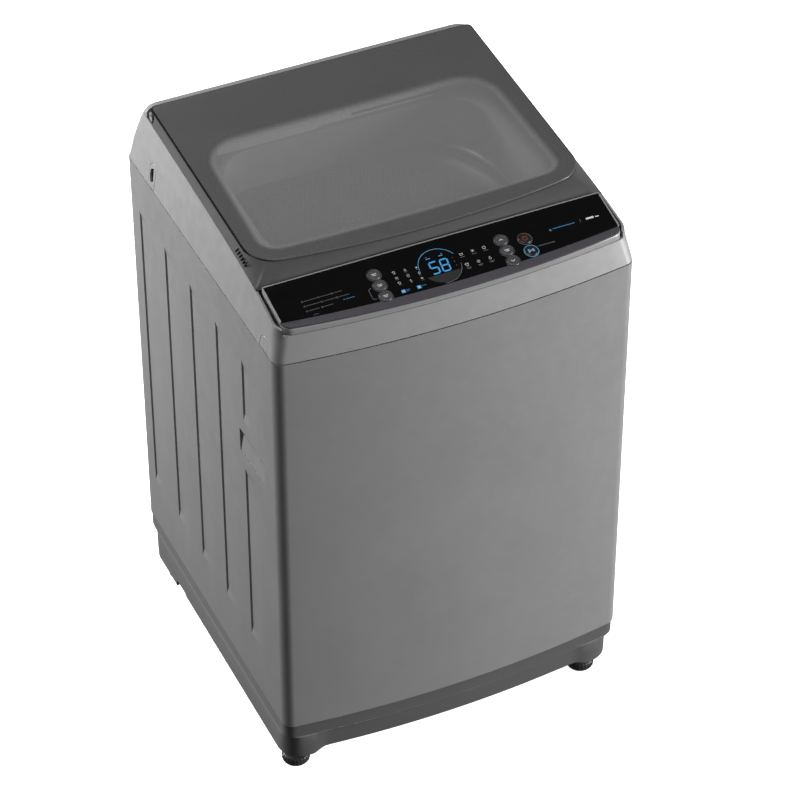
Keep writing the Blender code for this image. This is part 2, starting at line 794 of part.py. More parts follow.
def lid_profile():
    """The lid frame's side view, as (y, z) points: under the glass, then down and back along the cheek."""
    under = GLASS + GAP
    lift = 2 * GAP
    foot = [(y, z + lift) for y, z in CHEEK_LINE if LID_NOSE_Y < y < LID_REAR_Y]
    top = [(LID_REAR_Y, lid_z(LID_REAR_Y) - under), (LID_FRONT_Y + 0.002, lid_z(LID_FRONT_Y) - under)]
    nose = [(LID_NOSE_Y, LID_NOSE_Z), (LID_NOSE_Y, cheek_z(LID_NOSE_Y) + lift)]
    return top + nose + foot + [(LID_REAR_Y - 0.003, cheek_z(LID_REAR_Y) + lift)]


def splay(piece):
    """The lid's sides flare from the top face down to the cheeks."""
    for vertex in piece.data.vertices:
        y, z = vertex.co.y, vertex.co.z
        low = cheek_z(y)
        share = min(1.0, max(0.0, (z - low) / (lid_z(y) - low)))
        foot_half = side_x(low) - GAP
        half = foot_half + (LID_TOP_HALF - foot_half) * share
        vertex.co.x = half if vertex.co.x > 0 else -half


def lid_frame():
    """The lid's moulded frame: a skirt, a front lip with a finger grip, and the window's opening."""
    piece = plate("lid_frame", [lid_profile()], -0.26, 0.26, "yz", dark_plastic())
    splay(piece)
    skin = 0.0045
    hollow = [(LID_REAR_Y - 0.004, 0.70), (LID_REAR_Y - 0.004, lid_z(LID_REAR_Y) - 0.0085)]
    hollow += [(LID_FRONT_Y + 0.008, lid_z(LID_FRONT_Y) - 0.0085), (LID_FRONT_Y - 0.002, 0.8640)]
    hollow += [(LID_FRONT_Y - 0.002, 0.70)]
    half = LID_TOP_HALF - skin
    cut(piece, plate("lid_hollow", [hollow], -half, half, "yz"))
    window = rounded_rectangle(0.2350, -0.1500, 0.1300, 0.045)
    cut(piece, plate("lid_window", [window], 0.80, 0.95))
    grip = [(-0.200, 0.8600), (LID_NOSE_Y + 0.0028, 0.8600), (LID_NOSE_Y + 0.0028, 0.8900), (-0.200, 0.8900)]
    cut(piece, plate("lid_grip", [grip], -0.2400, 0.2400, "yz"))
    for side in (-1, 1):
        cut(piece, hinge_rod(f"lid_bore_{side}", side, 0.0028, 0.2440, 0.2620))
        low_x, high_x = sorted((side * 0.2528, side * 0.2700))
        cut(piece, box(f"ear_room_{side}", (low_x, 0.2010, 0.8800), (high_x, 0.2300, 0.9300)))
    set_origin(piece, (0.0, HINGE_Y, HINGE_Z))
    return piece


def hinge_rod(name, side, radius, near, far, finish=None):
    """A rod along X on the hinge's axis, between two distances from the middle."""
    rod = cylinder(name, radius, near, far, sides=16, finish=finish)
    rod.data.transform(Matrix.Rotation(side * pi / 2, 4, "Y"))
    rod.data.transform(Matrix.Translation((0.0, HINGE_Y, HINGE_Z)))
    return rod


def hinge_pin(name, side):
    piece = hinge_rod(name, side, 0.0025, 0.2460, 0.2566, zinc_steel())
    set_origin(piece, (0.0, HINGE_Y, HINGE_Z))
    return piece


def lid_glass():
    """The lid's flat top sheet, with large round front corners."""
    half = LID_TOP_HALF - 0.0005
    corner = (-half, bow_y(half, LID_FRONT_Y))
    front = fillet((-half, 0.0), corner, (-0.15, bow_y(0.15, LID_FRONT_Y)), 0.045, 8)
    start = front[-1][0]
    bow = [(x, bow_y(x, LID_FRONT_Y)) for x in [start * (1 - i / 4) for i in range(1, 8)]]
    rear = fillet((0.0, LID_REAR_Y), (-half, LID_REAR_Y), (-half, 0.0), 0.006, 3)
    outline = rear + front + bow + [(-x, y) for x, y in reversed(rear + front)]
    piece = plate("lid_glass", [outline], -GLASS, 0.0, "xy", smoked_glass())
    for vertex in piece.data.vertices:
        vertex.co.z += lid_z(vertex.co.y)
    set_origin(piece, (0.0, HINGE_Y, HINGE_Z))
    return piece


# ---------------------------------------------------------------- console


def console_ring(z, half, front_y, radius, inset=0.0):
    rear = CONSOLE_REAR[0] + 0.0020 - inset
    return level(plan_outline(half - inset, front_y + inset, rear, radius - inset / 2, 0.003), z)


def slope_cutter(name, drop):
    """Everything above the glass's plane and the flatter strip in front of it, lowered by drop."""
    edge = console_z(CONSOLE_FRONT_Y) - drop
    above = [(-0.31, edge + STRIP_SLOPE * (-0.31 - CONSOLE_FRONT_Y)), (CONSOLE_FRONT_Y, edge)]
    above += [(0.0, console_z(0.0) - drop), (0.0, 1.1), (-0.31, 1.1)]
    return plate(name, [above], -0.3, 0.3, "yz")


def glass_front(x):
    return CONSOLE_FRONT_Y + x * x / (2 * GLASS_BOW)


def glass_outline(shrink=0.0):
    half = CONSOLE_HALF - shrink
    xs = [-half + half * i / 5 for i in range(11)]
    front = [(x, glass_front(x) + shrink) for x in xs]
    return front + [(half, CONSOLE_REAR[0] - shrink), (-half, CONSOLE_REAR[0] - shrink)]


def tilt(piece):
    """Lays a flat piece, drawn with its top at z = 0, on the console's sloping plane."""
    for vertex in piece.data.vertices:
        vertex.co.z += console_z(vertex.co.y)


def button_holes(piece, prefix):
    for name, (x, y) in BUTTONS.items():
        hole = cylinder(f"{prefix}_{name}", BUTTON_RADIUS + 2 * GAP, -0.020, 0.010, sides=20)
        hole.location = (x, y, console_z(y))
        hole.rotation_euler = (atan2(CONSOLE_SLOPE, 1.0), 0.0, 0.0)
        cut(piece, hole)


def console_bezel():
    """The console's silver shell: it holds the glass and carries the rounded front corners."""
    rings = [
        (CONSOLE_SEAM_Z + GAP, 0.2569, BEZEL_FRONT_Y, 0.016),
        (0.8520, 0.2568, BEZEL_FRONT_Y + 0.0003, 0.016),
        (0.8560, 0.2566, BEZEL_FRONT_Y + 0.0010, 0.015),
        (0.8800, 0.2564, BEZEL_FRONT_Y + 0.0040, 0.013),
    ]
    piece = loft("console_bezel", [console_ring(*ring) for ring in rings], silver_plastic())
    cut(piece, slope_cutter("console_top", 0.0))
    pocket = plate("glass_pocket", [glass_outline(-GAP)], -0.0033, 0.02)
    tilt(pocket)
    groove = plate("trim_pocket", [trim_outline(GAP, 0.004)], -TRIM_THICK - GAP, 0.02)
    lay_strip(groove)
    cut(piece, pocket, groove)
    walls = [console_ring(z, 0.2564, BEZEL_FRONT_Y, 0.014, WALL) for z in (0.80, 0.8800)]
    inside = loft("console_inside", walls)
    cut(inside, slope_cutter("inside_top", 0.0065))
    cut(piece, inside)
    button_holes(piece, "bezel_hole")
    smooth(piece, 30)
    return piece


def trim_outline(grow, reach=0.0):
    """The dark strip between the glass and the bezel's front edge."""
    half = TRIM_HALF + grow
    xs = [-half + half * i / 6 for i in range(13)]
    rear = [(x, glass_front(x) - 2 * GAP + grow) for x in xs]
    front = [(x, bow_y(x, BEZEL_FRONT_Y + 0.0012) - reach) for x in xs]
    return front + rear[::-1]


def lay_strip(piece):
    """Lays a flat piece, drawn with its top at z = 0, on the strip's plane in front of the glass."""
    for vertex in piece.data.vertices:
        vertex.co.z += console_z(CONSOLE_FRONT_Y) + STRIP_SLOPE * (vertex.co.y - CONSOLE_FRONT_Y)


def console_trim():
    piece = plate("console_trim", [trim_outline(0.0)], -TRIM_THICK, 0.0, "xy", dark_plastic())
    lay_strip(piece)
    button_holes(piece, "trim_hole")
    return piece


def console_glass():
    piece = plate("console_glass", [glass_outline()], -0.0030, 0.0, "xy", black_glass())
    tilt(piece)
    button_holes(piece, "glass_hole")
    return piece


def button(name, x, y):
    """A round key: a cap that stands just proud of the glass on a stem with a flange below."""
    rise, depth, radius = 0.0014, 0.0100, BUTTON_RADIUS - 0.0002
    profile = [(0.0, rise), (radius - 0.0008, rise), (radius, rise - 0.0006), (radius, -depth), (0.0, -depth)]
    piece = turned(name, profile, dark_plastic(), sides=20)
    piece.location = (x, y, console_z(y))
    piece.rotation_euler = (atan2(CONSOLE_SLOPE, 1.0), 0.0, 0.0)
    return piece


def control_board():
    """The circuit board under the glass, parallel to it, with its taller components below."""
    low, high = -0.0192, -0.0176
    piece = box("control_board", (-0.150, -0.262, low), (0.160, -0.212, high), board_green())
    tilt(piece)
    blocks = ((-0.130, -0.250, 0.020, 0.016), (-0.060, -0.255, 0.030, 0.010), (0.050, -0.230, 0.014, 0.014))
    for index, (x, y, size, tall) in enumerate(blocks):
        part = box(f"component_{index}", (x, y, low - tall), (x + size, y + size, low + 0.001))
        tilt(part)
        join(piece, part)
    for index in range(3):
        at = (0.090 + 0.014 * index, -0.225)
        part = cylinder(f"capacitor_{index}", 0.005, low - 0.014, low + 0.001, at, sides=12)
        tilt(part)
        join(piece, part)
    return piece


def on_deck(piece):
    """Lifts a piece, drawn with the deck at z = 0, on to the sloping deck."""
    for vertex in piece.data.vertices:
        vertex.co.z += deck_z(vertex.co.y)
    return piece


# ---------------------------------------------------------------- water, dispenser, lock


def dispenser_housing():
    """The water box behind the mouth; its left bay is open to the front for the drawer."""
    (left, right), (front, rear) = DISPENSER_X, DISPENSER_Y
    low, high = GAP, DISPENSER_HIGH
    piece = on_deck(box("dispenser_housing", (left, front, low), (right, rear, high), grey_plastic()))
    floor, roof = low + 0.002, high - 0.002
    bay = box("drawer_bay", (DRAWER_X[0] - 0.003, 0.10, floor), (DRAWER_X[1] + 0.003, rear - 0.003, roof))
    channel = box("water_channel", (-0.020, front + 0.003, floor), (right - 0.003, rear - 0.003, roof))
    spout = box("water_spout", (0.020, front - 0.010, low + 0.004), (0.160, front + 0.020, low + 0.0090))
    cut(piece, on_deck(bay), on_deck(channel), on_deck(spout))
    return piece


def detergent_drawer():
    """The drawer: a powder tray and a smaller softener tray behind a low front."""
    (left, right), front = DRAWER_X, DISPENSER_Y[0] - 0.0045
    rear, low, high = DISPENSER_Y[1] - 0.0050, 0.0030, DISPENSER_HIGH - 0.0030
    piece = on_deck(box("detergent_drawer", (left, front + 0.0040, low), (right, rear, high), grey_plastic()))
    face = box("drawer_front", (left - 0.002, front, 0.0010), (right + 0.002, front + 0.0045, high + 0.0010))
    join(piece, on_deck(face))
    split = left + 0.62 * (right - left)
    for name, low_x, high_x in (("powder", left + 0.002, split), ("softener", split + 0.002, right - 0.002)):
        tray = box("drawer_" + name, (low_x, front + 0.006, low + 0.002), (high_x, rear - 0.002, 0.10))
        cut(piece, on_deck(tray))
    return piece


def along_y(piece):
    piece.data.transform(Matrix.Rotation(-pi / 2, 4, "X"))
    return piece


def port_hole():
    hole = along_y(cylinder("port_hole", 0.0150, 0.240, 0.290, sides=24))
    hole.data.transform(Matrix.Translation((PORT_X, 0.0, PORT_Z)))
    return hole


def inlet_valve():
    """The water valve: a solenoid body inside the frame and a threaded port through its back."""
    piece = along_y(cylinder("inlet_valve", 0.0132, 0.232, REAR_REACH, finish=white_plastic(), sides=24))
    piece.data.transform(Matrix.Translation((PORT_X, 0.0, PORT_Z)))
    bore = along_y(cylinder("valve_bore", 0.0090, 0.262, 0.300, sides=20))
    bore.data.transform(Matrix.Translation((PORT_X, 0.0, PORT_Z)))
    low, high = (PORT_X - 0.022, 0.2150, PORT_Z - 0.018), (PORT_X + 0.022, 0.2400, PORT_Z + 0.018)
    join(piece, box("valve_body", low, high))
    join(piece, cylinder("valve_coil", 0.0130, PORT_Z - 0.024, PORT_Z + 0.026, (PORT_X, 0.2050), sides=20))
    cut(piece, bore)
    return piece


def lid_lock():
    """The lock under the deck by the right cheek, with the slot for its bolt on top."""
    top = deck_z(-0.165) - WALL - 0.0030
    piece = box("lid_lock", (0.2000, -0.1770, top - 0.022), (0.2400, -0.1350, top), black_plastic())
    cut(piece, box("lock_slot", (0.2160, -0.1700, top - 0.006), (0.2240, -0.1420, top + 0.01)))
    return piece


def pressure_switch():
    """The water level switch, clipped under the deck in the rear left corner."""
    top = deck_z(0.170) - WALL - GAP
    at = (-0.2100, 0.1950)
    piece = cylinder("pressure_switch", 0.0230, top - 0.0160, top, at, black_plastic(), 28)
    join(piece, cylinder("pressure_nipple", 0.0035, top - 0.0280, top - 0.0150, at, sides=12))
    return piece


def drain_outlet():
    """The spigot through the base's rear wall that the drain hose ends in."""
    piece = along_y(cylinder("drain_outlet", OUTLET_RADIUS, 0.2280, 0.2830, finish=black_plastic(), sides=20))
    bore = along_y(cylinder("outlet_bore", OUTLET_RADIUS - 0.0035, 0.2000, 0.3000, sides=20))
    for part in (piece, bore):
        part.data.transform(Matrix.Translation((OUTLET_X, 0.0, OUTLET_Z)))
    cut(piece, bore)
    return piece


# ---------------------------------------------------------------- tub


def outer_tub():
    """The water tub, with four lugs that sit on the suspension springs."""
    outer, inner = TUB_RADIUS, TUB_RADIUS - WALL
    low, top = TUB_BOTTOM, TUB_TOP
    profile = [(outer, top), (outer, low + 0.014), (outer - 0.014, low), (0.0270, low), (0.0270, low + 0.004)]
    profile += [(inner - 0.013, low + 0.004), (inner, low + 0.016), (inner, top)]
    piece = turned("outer_tub", profile, white_plastic())
    for x in (-1, 1):
        for y in (-1, 1):
            arm = box("lug_arm", (0.2480, -0.0130, 0.3350), (ROD_OFFSET * sqrt(2), 0.0130, 0.3550))
            arm.data.transform(Matrix.Rotation(atan2(y, x), 4, "Z"))
            boss = cylinder("lug_boss", 0.0150, 0.3300, 0.3600, (x * ROD_OFFSET, y * ROD_OFFSET), sides=16)
            hole = cylinder("lug_hole", 0.0070, 0.3000, 0.4000, (x * ROD_OFFSET, y * ROD_OFFSET), sides=16)
            join(piece, arm, boss)
            cut(piece, hole)
    cut(piece, cylinder("drain_hole", 0.0140, 0.20, 0.26, DRAIN_AT, sides=16))
    smooth(piece)
    return piece


def tub_cover():
    """The ring on the tub's edge that keeps the water in."""
    low, top = TUB_TOP + GAP, TUB_TOP + 0.026
    profile = [(0.2120, top), (0.2220, top), (TUB_RADIUS + 0.002, low + 0.010), (TUB_RADIUS + 0.002, low)]
    step = TUB_RADIUS - WALL - 0.004
    profile += [(step, low), (step, low + 0.008), (0.2205, top - 0.003)]
    profile += [(0.2120, top - 0.003)]
    piece = turned("tub_cover", profile, white_plastic())
    smooth(piece)
    return piece


def suspension_rod(name, x, y):
    """A rod with a ball head over the corner plate and a spring seat at its foot."""
    head = CORNER_PLATE_Z + 0.0015 + GAP
    profile = [(0.0, head + 0.014), (0.0060, head + 0.013), (0.0110, head + 0.008), (0.0110, head)]
    profile += [(ROD_RADIUS, head), (ROD_RADIUS, 0.2900), (0.0155, 0.2900), (0.0155, 0.2780)]
    profile += [(0.0070, 0.2740), (0.0, 0.2740)]
    return turned(name, profile, zinc_steel(), (x, y), 12)


def suspension_spring(name, x, y):
    """The coil spring between the rod's seat and the tub's lug."""
    wire, coil, turns = 0.0014, 0.0115, 4
    low, high = 0.2900 + wire + GAP, 0.3300 - wire - GAP
    count = turns * 10
    points = []
    for i in range(count + 1):
        angle = 2 * pi * turns * i / count
        rise = low + (high - low) * min(1.0, max(0.0, (i - 3) / (count - 6)))
        points.append((coil * cos(angle), coil * sin(angle), rise))
    piece = tube(name, points, wire, zinc_steel(), 0)
    piece.location = (x, y, 0.0)
    return piece


def bearing_plate():
    """The steel plate under the tub that carries the bearing housing and the motor."""
    outline = rounded_rectangle(0.105, -0.105, 0.235, 0.020, 3)
    hole = circle(0.0265, (0.0, 0.0), 24)
    return plate("bearing_plate", [outline, hole], 0.2200, TUB_BOTTOM - GAP, "xy", zinc_steel())


def clutch_housing():
    """The gearbox and clutch round the shafts, under the bearing plate."""
    profile = [(0.0190, 0.2194), (0.0620, 0.2194), (0.0620, 0.2080), (0.0540, 0.2040), (0.0540, 0.1620)]
    profile += [(0.0440, 0.1520), (0.0190, 0.1520)]
    return turned("clutch_housing", profile, cast_alloy(), sides=32)


def motor():
    """The drive motor, hung under the bearing plate behind the clutch."""
    low, high = 0.1440, 0.2194
    profile = [(0.0, high), (0.0560, high), (0.0600, high - 0.006), (0.0600, low + 0.010), (0.0520, low)]
    profile += [(0.0065, low), (0.0065, 0.1800), (0.0, 0.1800)]
    return turned("motor", profile, cast_alloy(), (0.0, MOTOR_Y), 32)


def pulley_profile(radius, bore, top, bottom):
    """A grooved wheel's section; the belt runs in the groove."""
    groove = radius - BELT_DEPTH - 0.0010
    half = BELT_WIDTH / 2 + GAP
    profile = [(bore, top), (radius, top), (radius, BELT_Z + half), (groove, BELT_Z + half)]
    return profile + [(groove, BELT_Z - half), (radius, BELT_Z - half), (radius, bottom), (bore, bottom)]


def large_pulley():
    return turned("large_pulley", pulley_profile(LARGE_PULLEY, 0.0095, 0.1380, 0.1240), cast_alloy())


def motor_pulley():
    """The small pulley and the motor's shaft, turned as one."""
    profile = pulley_profile(SMALL_PULLEY, 0.0060, 0.1380, 0.1240)
    profile = [(0.0, 0.1780), (0.0060, 0.1780)] + profile[:-1] + [(0.0, 0.1240)]
    piece = turned("motor_pulley", profile, zinc_steel(), sides=28)
    piece.location = (0.0, MOTOR_Y, 0.0)
    return piece


def belt_outline(extra):
    """A loop round both pulleys, this far outside the grooves' floors."""
    large = LARGE_PULLEY - BELT_DEPTH - 0.0010 + extra
    small = SMALL_PULLEY - BELT_DEPTH - 0.0010 + extra
    wrap = atan2(sqrt(MOTOR_Y**2 - (large - small) ** 2), large - small)
    first = circle(large, (0.0, 0.0), 24, pi / 2 + wrap, 5 * pi / 2 - wrap)
    second = circle(small, (0.0, MOTOR_Y), 12, pi / 2 - wrap, pi / 2 + wrap)
    return first + second


def drive_belt():
    outlines = [belt_outline(BELT_DEPTH), belt_outline(2 * GAP)]
    return plate("drive_belt", outlines, BELT_Z - BELT_WIDTH / 2, BELT_Z + BELT_WIDTH / 2, "xy", rubber())


def drain_valve():
    """The valve under the tub's drain hole, with its outlet pointing down."""
    x, y = DRAIN_AT
    piece = cylinder("drain_valve", 0.0200, 0.1900, TUB_BOTTOM - GAP, DRAIN_AT, white_plastic(), 20)
    join(piece, box("valve_actuator", (x - 0.055, y - 0.012, 0.1930), (x, y + 0.012, 0.2150)))
    join(piece, cylinder("valve_outlet", 0.0120, 0.1700, 0.1950, DRAIN_AT, sides=16))
    cut(piece, cylinder("valve_passage", 0.0095, 0.1600, 0.2200, DRAIN_AT, sides=16))
    return piece


def drain_hose():
    """The hose from the drain valve down to the floor of the base and back to the outlet."""
    x, y = DRAIN_AT
    bend = 0.036
    points = [(x, y, 0.1697 - 0.0245 * i) for i in range(4)]
    turn = [pi / 2 * i / 6 for i in range(7)]
    points += [(x, y + bend - bend * cos(a), OUTLET_Z + bend - bend * sin(a)) for a in turn]
    points += [(x, y + bend + 0.04 + 0.0670 * i, OUTLET_Z) for i in range(3)]
    points.append((x, 0.2277, OUTLET_Z))
    return tube("drain_hose", points, 0.0115, rubber(), 1)


# ---------------------------------------------------------------- basket and pulsator


def basket():
    """The steel wash basket: a wall and a floor with the hole for the drive shaft."""
    outer, sheet = BASKET_RADIUS, 0.0008
    low, top = BASKET_BOTTOM, BASKET_TOP
    profile = [(outer, top), (outer, low + 0.012), (outer - 0.012, low), (0.0140, low), (0.0140, low + sheet)]
    profile += [(outer - 0.0125, low + sheet), (outer - sheet, low + 0.0125), (outer - sheet, top)]
    piece = turned("basket", profile, stainless())
    smooth(piece)
    return piece


def balance_ring():
    """The hollow ring on the basket's edge, filled with salt water."""
    low, top = BASKET_TOP + GAP, BASKET_TOP + 0.038
    profile = [(0.2080, top - 0.008), (0.2140, top), (0.2320, top), (0.2380, top - 0.008), (0.2380, low)]
    profile += [(0.2150, low), (0.2080, low + 0.006)]
    piece = turned("balance_ring", profile, grey_plastic())
    smooth(piece)
    return piece


def basket_hub():
    """The hollow spin shaft and its flange under the basket."""
    top = BASKET_BOTTOM - GAP
    profile = [(0.0105, top), (0.0900, top), (0.0900, top - 0.005), (0.0240, top - 0.012), (0.0180, 0.2230)]
    profile += [(0.0180, 0.1560), (0.0105, 0.1560)]
    return turned("basket_hub", profile, cast_alloy(), sides=32)


def pulsator():
    """The wash plate: a shallow cone with six soft ribs, in the bottom of the basket."""
    radius, low, sectors, rings = 0.172, BASKET_BOTTOM + 0.010, 48, 6
    body = bmesh.new()
    shells = []
    for k in range(rings + 1):
        share = k / rings
        r = 0.0130 + (radius - 0.0130) * share
        row = []
        for i in range(sectors):
            angle = 2 * pi * i / sectors
            rib = max(0.0, cos(6 * angle + 2.0 * share)) ** 3 * sin(pi * min(1.0, share * 1.05))
            z = low + 0.024 - 0.016 * share + 0.022 * rib
            row.append(body.verts.new((r * cos(angle), r * sin(angle), z)))
        shells.append(row)
    shells.append([body.verts.new((v.co.x, v.co.y, low)) for v in shells[-1]])
    shells.append([body.verts.new((v.co.x, v.co.y, low)) for v in shells[0]])
    for first, second in zip(shells, shells[1:] + shells[:1]):
        for i in range(sectors):
            j = (i + 1) % sectors
            body.faces.new((first[i], first[j], second[j], second[i]))
    piece = add_object("pulsator", mesh_of("pulsator", body), grey_plastic())
    smooth(piece, 50)
    return piece


def pulsator_bolt():
    """The cap bolt that holds the pulsator on the drive shaft."""
    low = BASKET_BOTTOM + 0.0352
    profile = [(0.0, low + 0.006), (0.0120, low + 0.005), (0.0160, low + 0.001), (0.0160, low), (0.0, low)]
    return turned("pulsator_bolt", profile, grey_plastic(), sides=20)


def drive_shaft():
    """The inner shaft, from the large pulley up to the pulsator."""
    return cylinder("drive_shaft", 0.0092, 0.1200, BASKET_BOTTOM + 0.0340, (0.0, 0.0), zinc_steel(), 24)


def lint_filter():
    """The lint filter box, which slides up out of its guide on the basket's rear wall."""
    reach = BASKET_RADIUS - 0.0012 - 0.0060
    half = 0.045
    wall = [(x, sqrt(reach**2 - x * x)) for x in [-half + 2 * half * i / 6 for i in range(7)]]
    face = [(x, 0.2060 - 0.6 * x * x) for x in [half - 2 * half * i / 6 for i in range(7)]]
    piece = plate("lint_filter", [wall + face], 0.3900, 0.6000, "xy", grey_plastic())
    window = box("filter_window", (-0.032, 0.15, 0.4150), (0.032, 0.2140, 0.5750))
    cut(piece, window)
    return piece


# ---------------------------------------------------------------- assembly


def build():
    cabinet_wrap()
    back_panel()
    carry_handle("carry_handle_left", -1)
    carry_handle("carry_handle_right", 1)
    base_plinth()
    corners = (("front_left", -1, -1), ("front_right", 1, -1), ("rear_left", -1, 1), ("rear_right", 1, 1))
    for name, x, y in corners:
        foot("foot_" + name, x * FOOT_X, y * FOOT_Y)
        suspension_rod("suspension_rod_" + name, x * ROD_OFFSET, y * ROD_OFFSET)
        suspension_spring("suspension_spring_" + name, x * ROD_OFFSET, y * ROD_OFFSET)
    top_frame()
    side_cap("side_cap_left", -1)
    side_cap("side_cap_right", 1)
    cord_gland()
    lid_frame()
    lid_glass()
    hinge_pin("hinge_pin_left", -1)
    hinge_pin("hinge_pin_right", 1)
    console_bezel()
    console_trim()
    console_glass()
    for name, (x, y) in BUTTONS.items():
        button(name, x, y)
    control_board()
    dispenser_housing()
    detergent_drawer()
    inlet_valve()
    lid_lock()
    pressure_switch()
    drain_outlet()
    outer_tub()
    tub_cover()
    bearing_plate()
    clutch_housing()
    motor()
    motor_pulley()
    large_pulley()
    drive_belt()
    drain_valve()
    drain_hose()
    basket()
    balance_ring()
    basket_hub()
    pulsator()
    pulsator_bolt()
    drive_shaft()
    lint_filter()


build()
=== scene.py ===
"""The looks of a top load washing machine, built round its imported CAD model. Metres, +Z up, front at -Y."""

import json
from math import atan2, cos, pi, radians, sin, tan

import bmesh
import bpy
from mathutils import Matrix, Vector


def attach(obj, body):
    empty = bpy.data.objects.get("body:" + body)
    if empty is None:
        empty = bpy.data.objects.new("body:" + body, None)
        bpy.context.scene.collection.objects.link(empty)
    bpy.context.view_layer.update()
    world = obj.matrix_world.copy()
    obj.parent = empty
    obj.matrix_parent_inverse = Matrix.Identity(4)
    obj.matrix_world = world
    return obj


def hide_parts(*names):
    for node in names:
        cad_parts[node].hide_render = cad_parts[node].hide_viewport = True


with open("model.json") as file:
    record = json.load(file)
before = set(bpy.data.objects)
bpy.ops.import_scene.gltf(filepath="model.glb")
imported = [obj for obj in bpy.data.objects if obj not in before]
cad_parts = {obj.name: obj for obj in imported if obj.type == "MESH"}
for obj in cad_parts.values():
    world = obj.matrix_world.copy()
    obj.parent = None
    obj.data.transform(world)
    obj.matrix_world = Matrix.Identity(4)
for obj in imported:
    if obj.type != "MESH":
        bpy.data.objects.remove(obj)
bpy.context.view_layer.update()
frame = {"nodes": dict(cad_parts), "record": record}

# Cabinet and top frame, in the CAD's numbers
HALF_WIDTH = 0.275
FRONT_Y = -0.2924
REAR_Y = 0.2765
BOW_RADIUS = 1.8
FRONT_CORNER = 0.018
REAR_CORNER = 0.021
PANEL_BOTTOM = 0.1165
SEAM_Z = 0.8062
SEAM_GAP = 0.0006
CONSOLE_SEAM_Z = 0.8465
BEZEL_FRONT_Y = -0.282
CHEEK_TAPER = 0.18
REAR_TOP_Y, REAR_TOP_Z = 0.22, 0.9117
RECESS_REAR_Y = 0.2228
REAR_LINE = (
    (SEAM_Z, 0.2765), (0.84, 0.2712), (0.865, 0.2632), (0.8828, 0.2565),
    (0.8978, 0.2478), (0.9065, 0.2364), (0.9101, 0.2275), (REAR_TOP_Z, REAR_TOP_Y),
)
CHEEK_LINE = (
    (-0.3, 0.847), (-0.276, 0.85), (-0.2604, 0.8556), (-0.1795, 0.8709),
    (-0.0501, 0.8824), (0.2152, 0.8961), (0.235, 0.8958), (0.2518, 0.8938),
    (0.31, 0.886),
)

# Cabinet side
RIB_STEPS = (0.2272, 0.1311, 0.0361, -0.0584, -0.152)
RIB_LENGTH = 0.0565
RIB_DEPTH = 0.0024
RIB_BOTTOM, RIB_TOP = 0.21, 0.73
RIB_FACET = 0.012
HANDLE_BREAK = (0.5316, 0.6216)
HANDLE_Y = (-0.225, -0.1355)
HANDLE_Z = (0.555, 0.5955)

# Lid
LID_REAR_Y, LID_REAR_Z = 0.2184, 0.9146
LID_FRONT_Y, LID_FRONT_Z = -0.1745, 0.8904
LID_SLOPE = (LID_REAR_Z - LID_FRONT_Z) / (LID_REAR_Y - LID_FRONT_Y)
LID_HALF = 0.253
LID_NOSE_Y = -0.1868
LID_BOW = 1.45
LID_CORNER = 0.045
VENT_TURN = 0.35

# Console
CONSOLE_REAR_Y, CONSOLE_REAR_Z = -0.1898, 0.8764
CONSOLE_SLOPE = 0.227
CONSOLE_FRONT_Y = -0.266
CONSOLE_HALF = 0.254
GLASS_BOW = 2.2
STRIP_SLOPE = 0.135
BUTTON_RADIUS = 0.0092

# Base, feet and inner parts
FOOT_X, FOOT_Y = 0.2403, 0.2258
FOOT_RIBS = 24
NECK_TOP = 0.0325
BASE_BOTTOM = 0.0335
FRONT_BOTTOM = 0.0425
LIFT_Y = 0.147
BASE_TOP = PANEL_BOTTOM - 0.0003
BASE_FRONT = -0.2905
SHELF_Z = 0.086
LOBE_DEPTH = 0.006
LOBE_X = 0.234
ARCH_RAMP, ARCH_RISE = 0.026, 0.007
NOTCH_FRONT_Y, NOTCH_REAR_Y, NOTCH_TOP = 0.127, 0.167, 0.0465
OUTLET_X, OUTLET_Z = -0.15, 0.06
INLET_X, INLET_Z = 0.15, 0.835
ROD_OFFSET = 0.232
GUSSET_Z = 0.783
DECK_FRONT_Y = -0.18
HINGE_Y, HINGE_Z = 0.2116, 0.906

# Lid glass and its window
GLASS = 0.003
WINDOW_REAR, WINDOW_FRONT = 0.224, 0.231
WINDOW_BACK_Y, WINDOW_FRONT_Y = 0.111, -0.143
WINDOW_BOW = 4.2
PRESS_DEPTH = 0.0034
LIP_BOTTOM = 0.8745
LID_BORDER = (0.08, 0.079, 0.079)
# The window's pale colour is painted light: it stands in for the lit inside seen through the glass.
LID_WINDOW_PAINTED_LIGHT = (0.325, 0.325, 0.325)
LID_ALPHA = 0.3

# Console print and keys, tub and basket
TRIM_HALF = 0.2557
DISPLAY = (-0.0113, -0.2346)
TUB_TOP = 0.758
BASKET_RADIUS = 0.236
BASKET_BOTTOM, BASKET_TOP = 0.25, 0.717
BUTTONS = {
    "button_left_rear": (-0.1037, -0.2194),
    "button_left_middle": (-0.1037, -0.2388),
    "button_left_front": (-0.1037, -0.2582),
    "button_up": (0.0875, -0.2216),
    "button_select": (0.0875, -0.241),
    "button_down": (0.0875, -0.2604),
    "button_power": (0.12, -0.2303),
    "button_start": (0.1195, -0.2525),
}


# ---------------------------------------------------------------- curves


def fillet(before, corner, after, radius, steps):
    """Points of the arc that rounds the corner between two straight stretches."""
    corner = Vector(corner)
    u = (Vector(before) - corner).normalized()
    v = (Vector(after) - corner).normalized()
    half = u.angle(v) / 2
    centre = corner + (u + v).normalized() * (radius / sin(half))
    first = corner + u * (radius / tan(half)) - centre
    last = corner + v * (radius / tan(half)) - centre
    start = atan2(first.y, first.x)
    sweep = (atan2(last.y, last.x) - start + pi) % (2 * pi) - pi
    angles = [start + sweep * i / steps for i in range(steps + 1)]
    return [(centre.x + radius * cos(a), centre.y + radius * sin(a)) for a in angles]


def bow_y(x, front_y=FRONT_Y, bow=BOW_RADIUS):
    return front_y + x * x / (2 * bow)


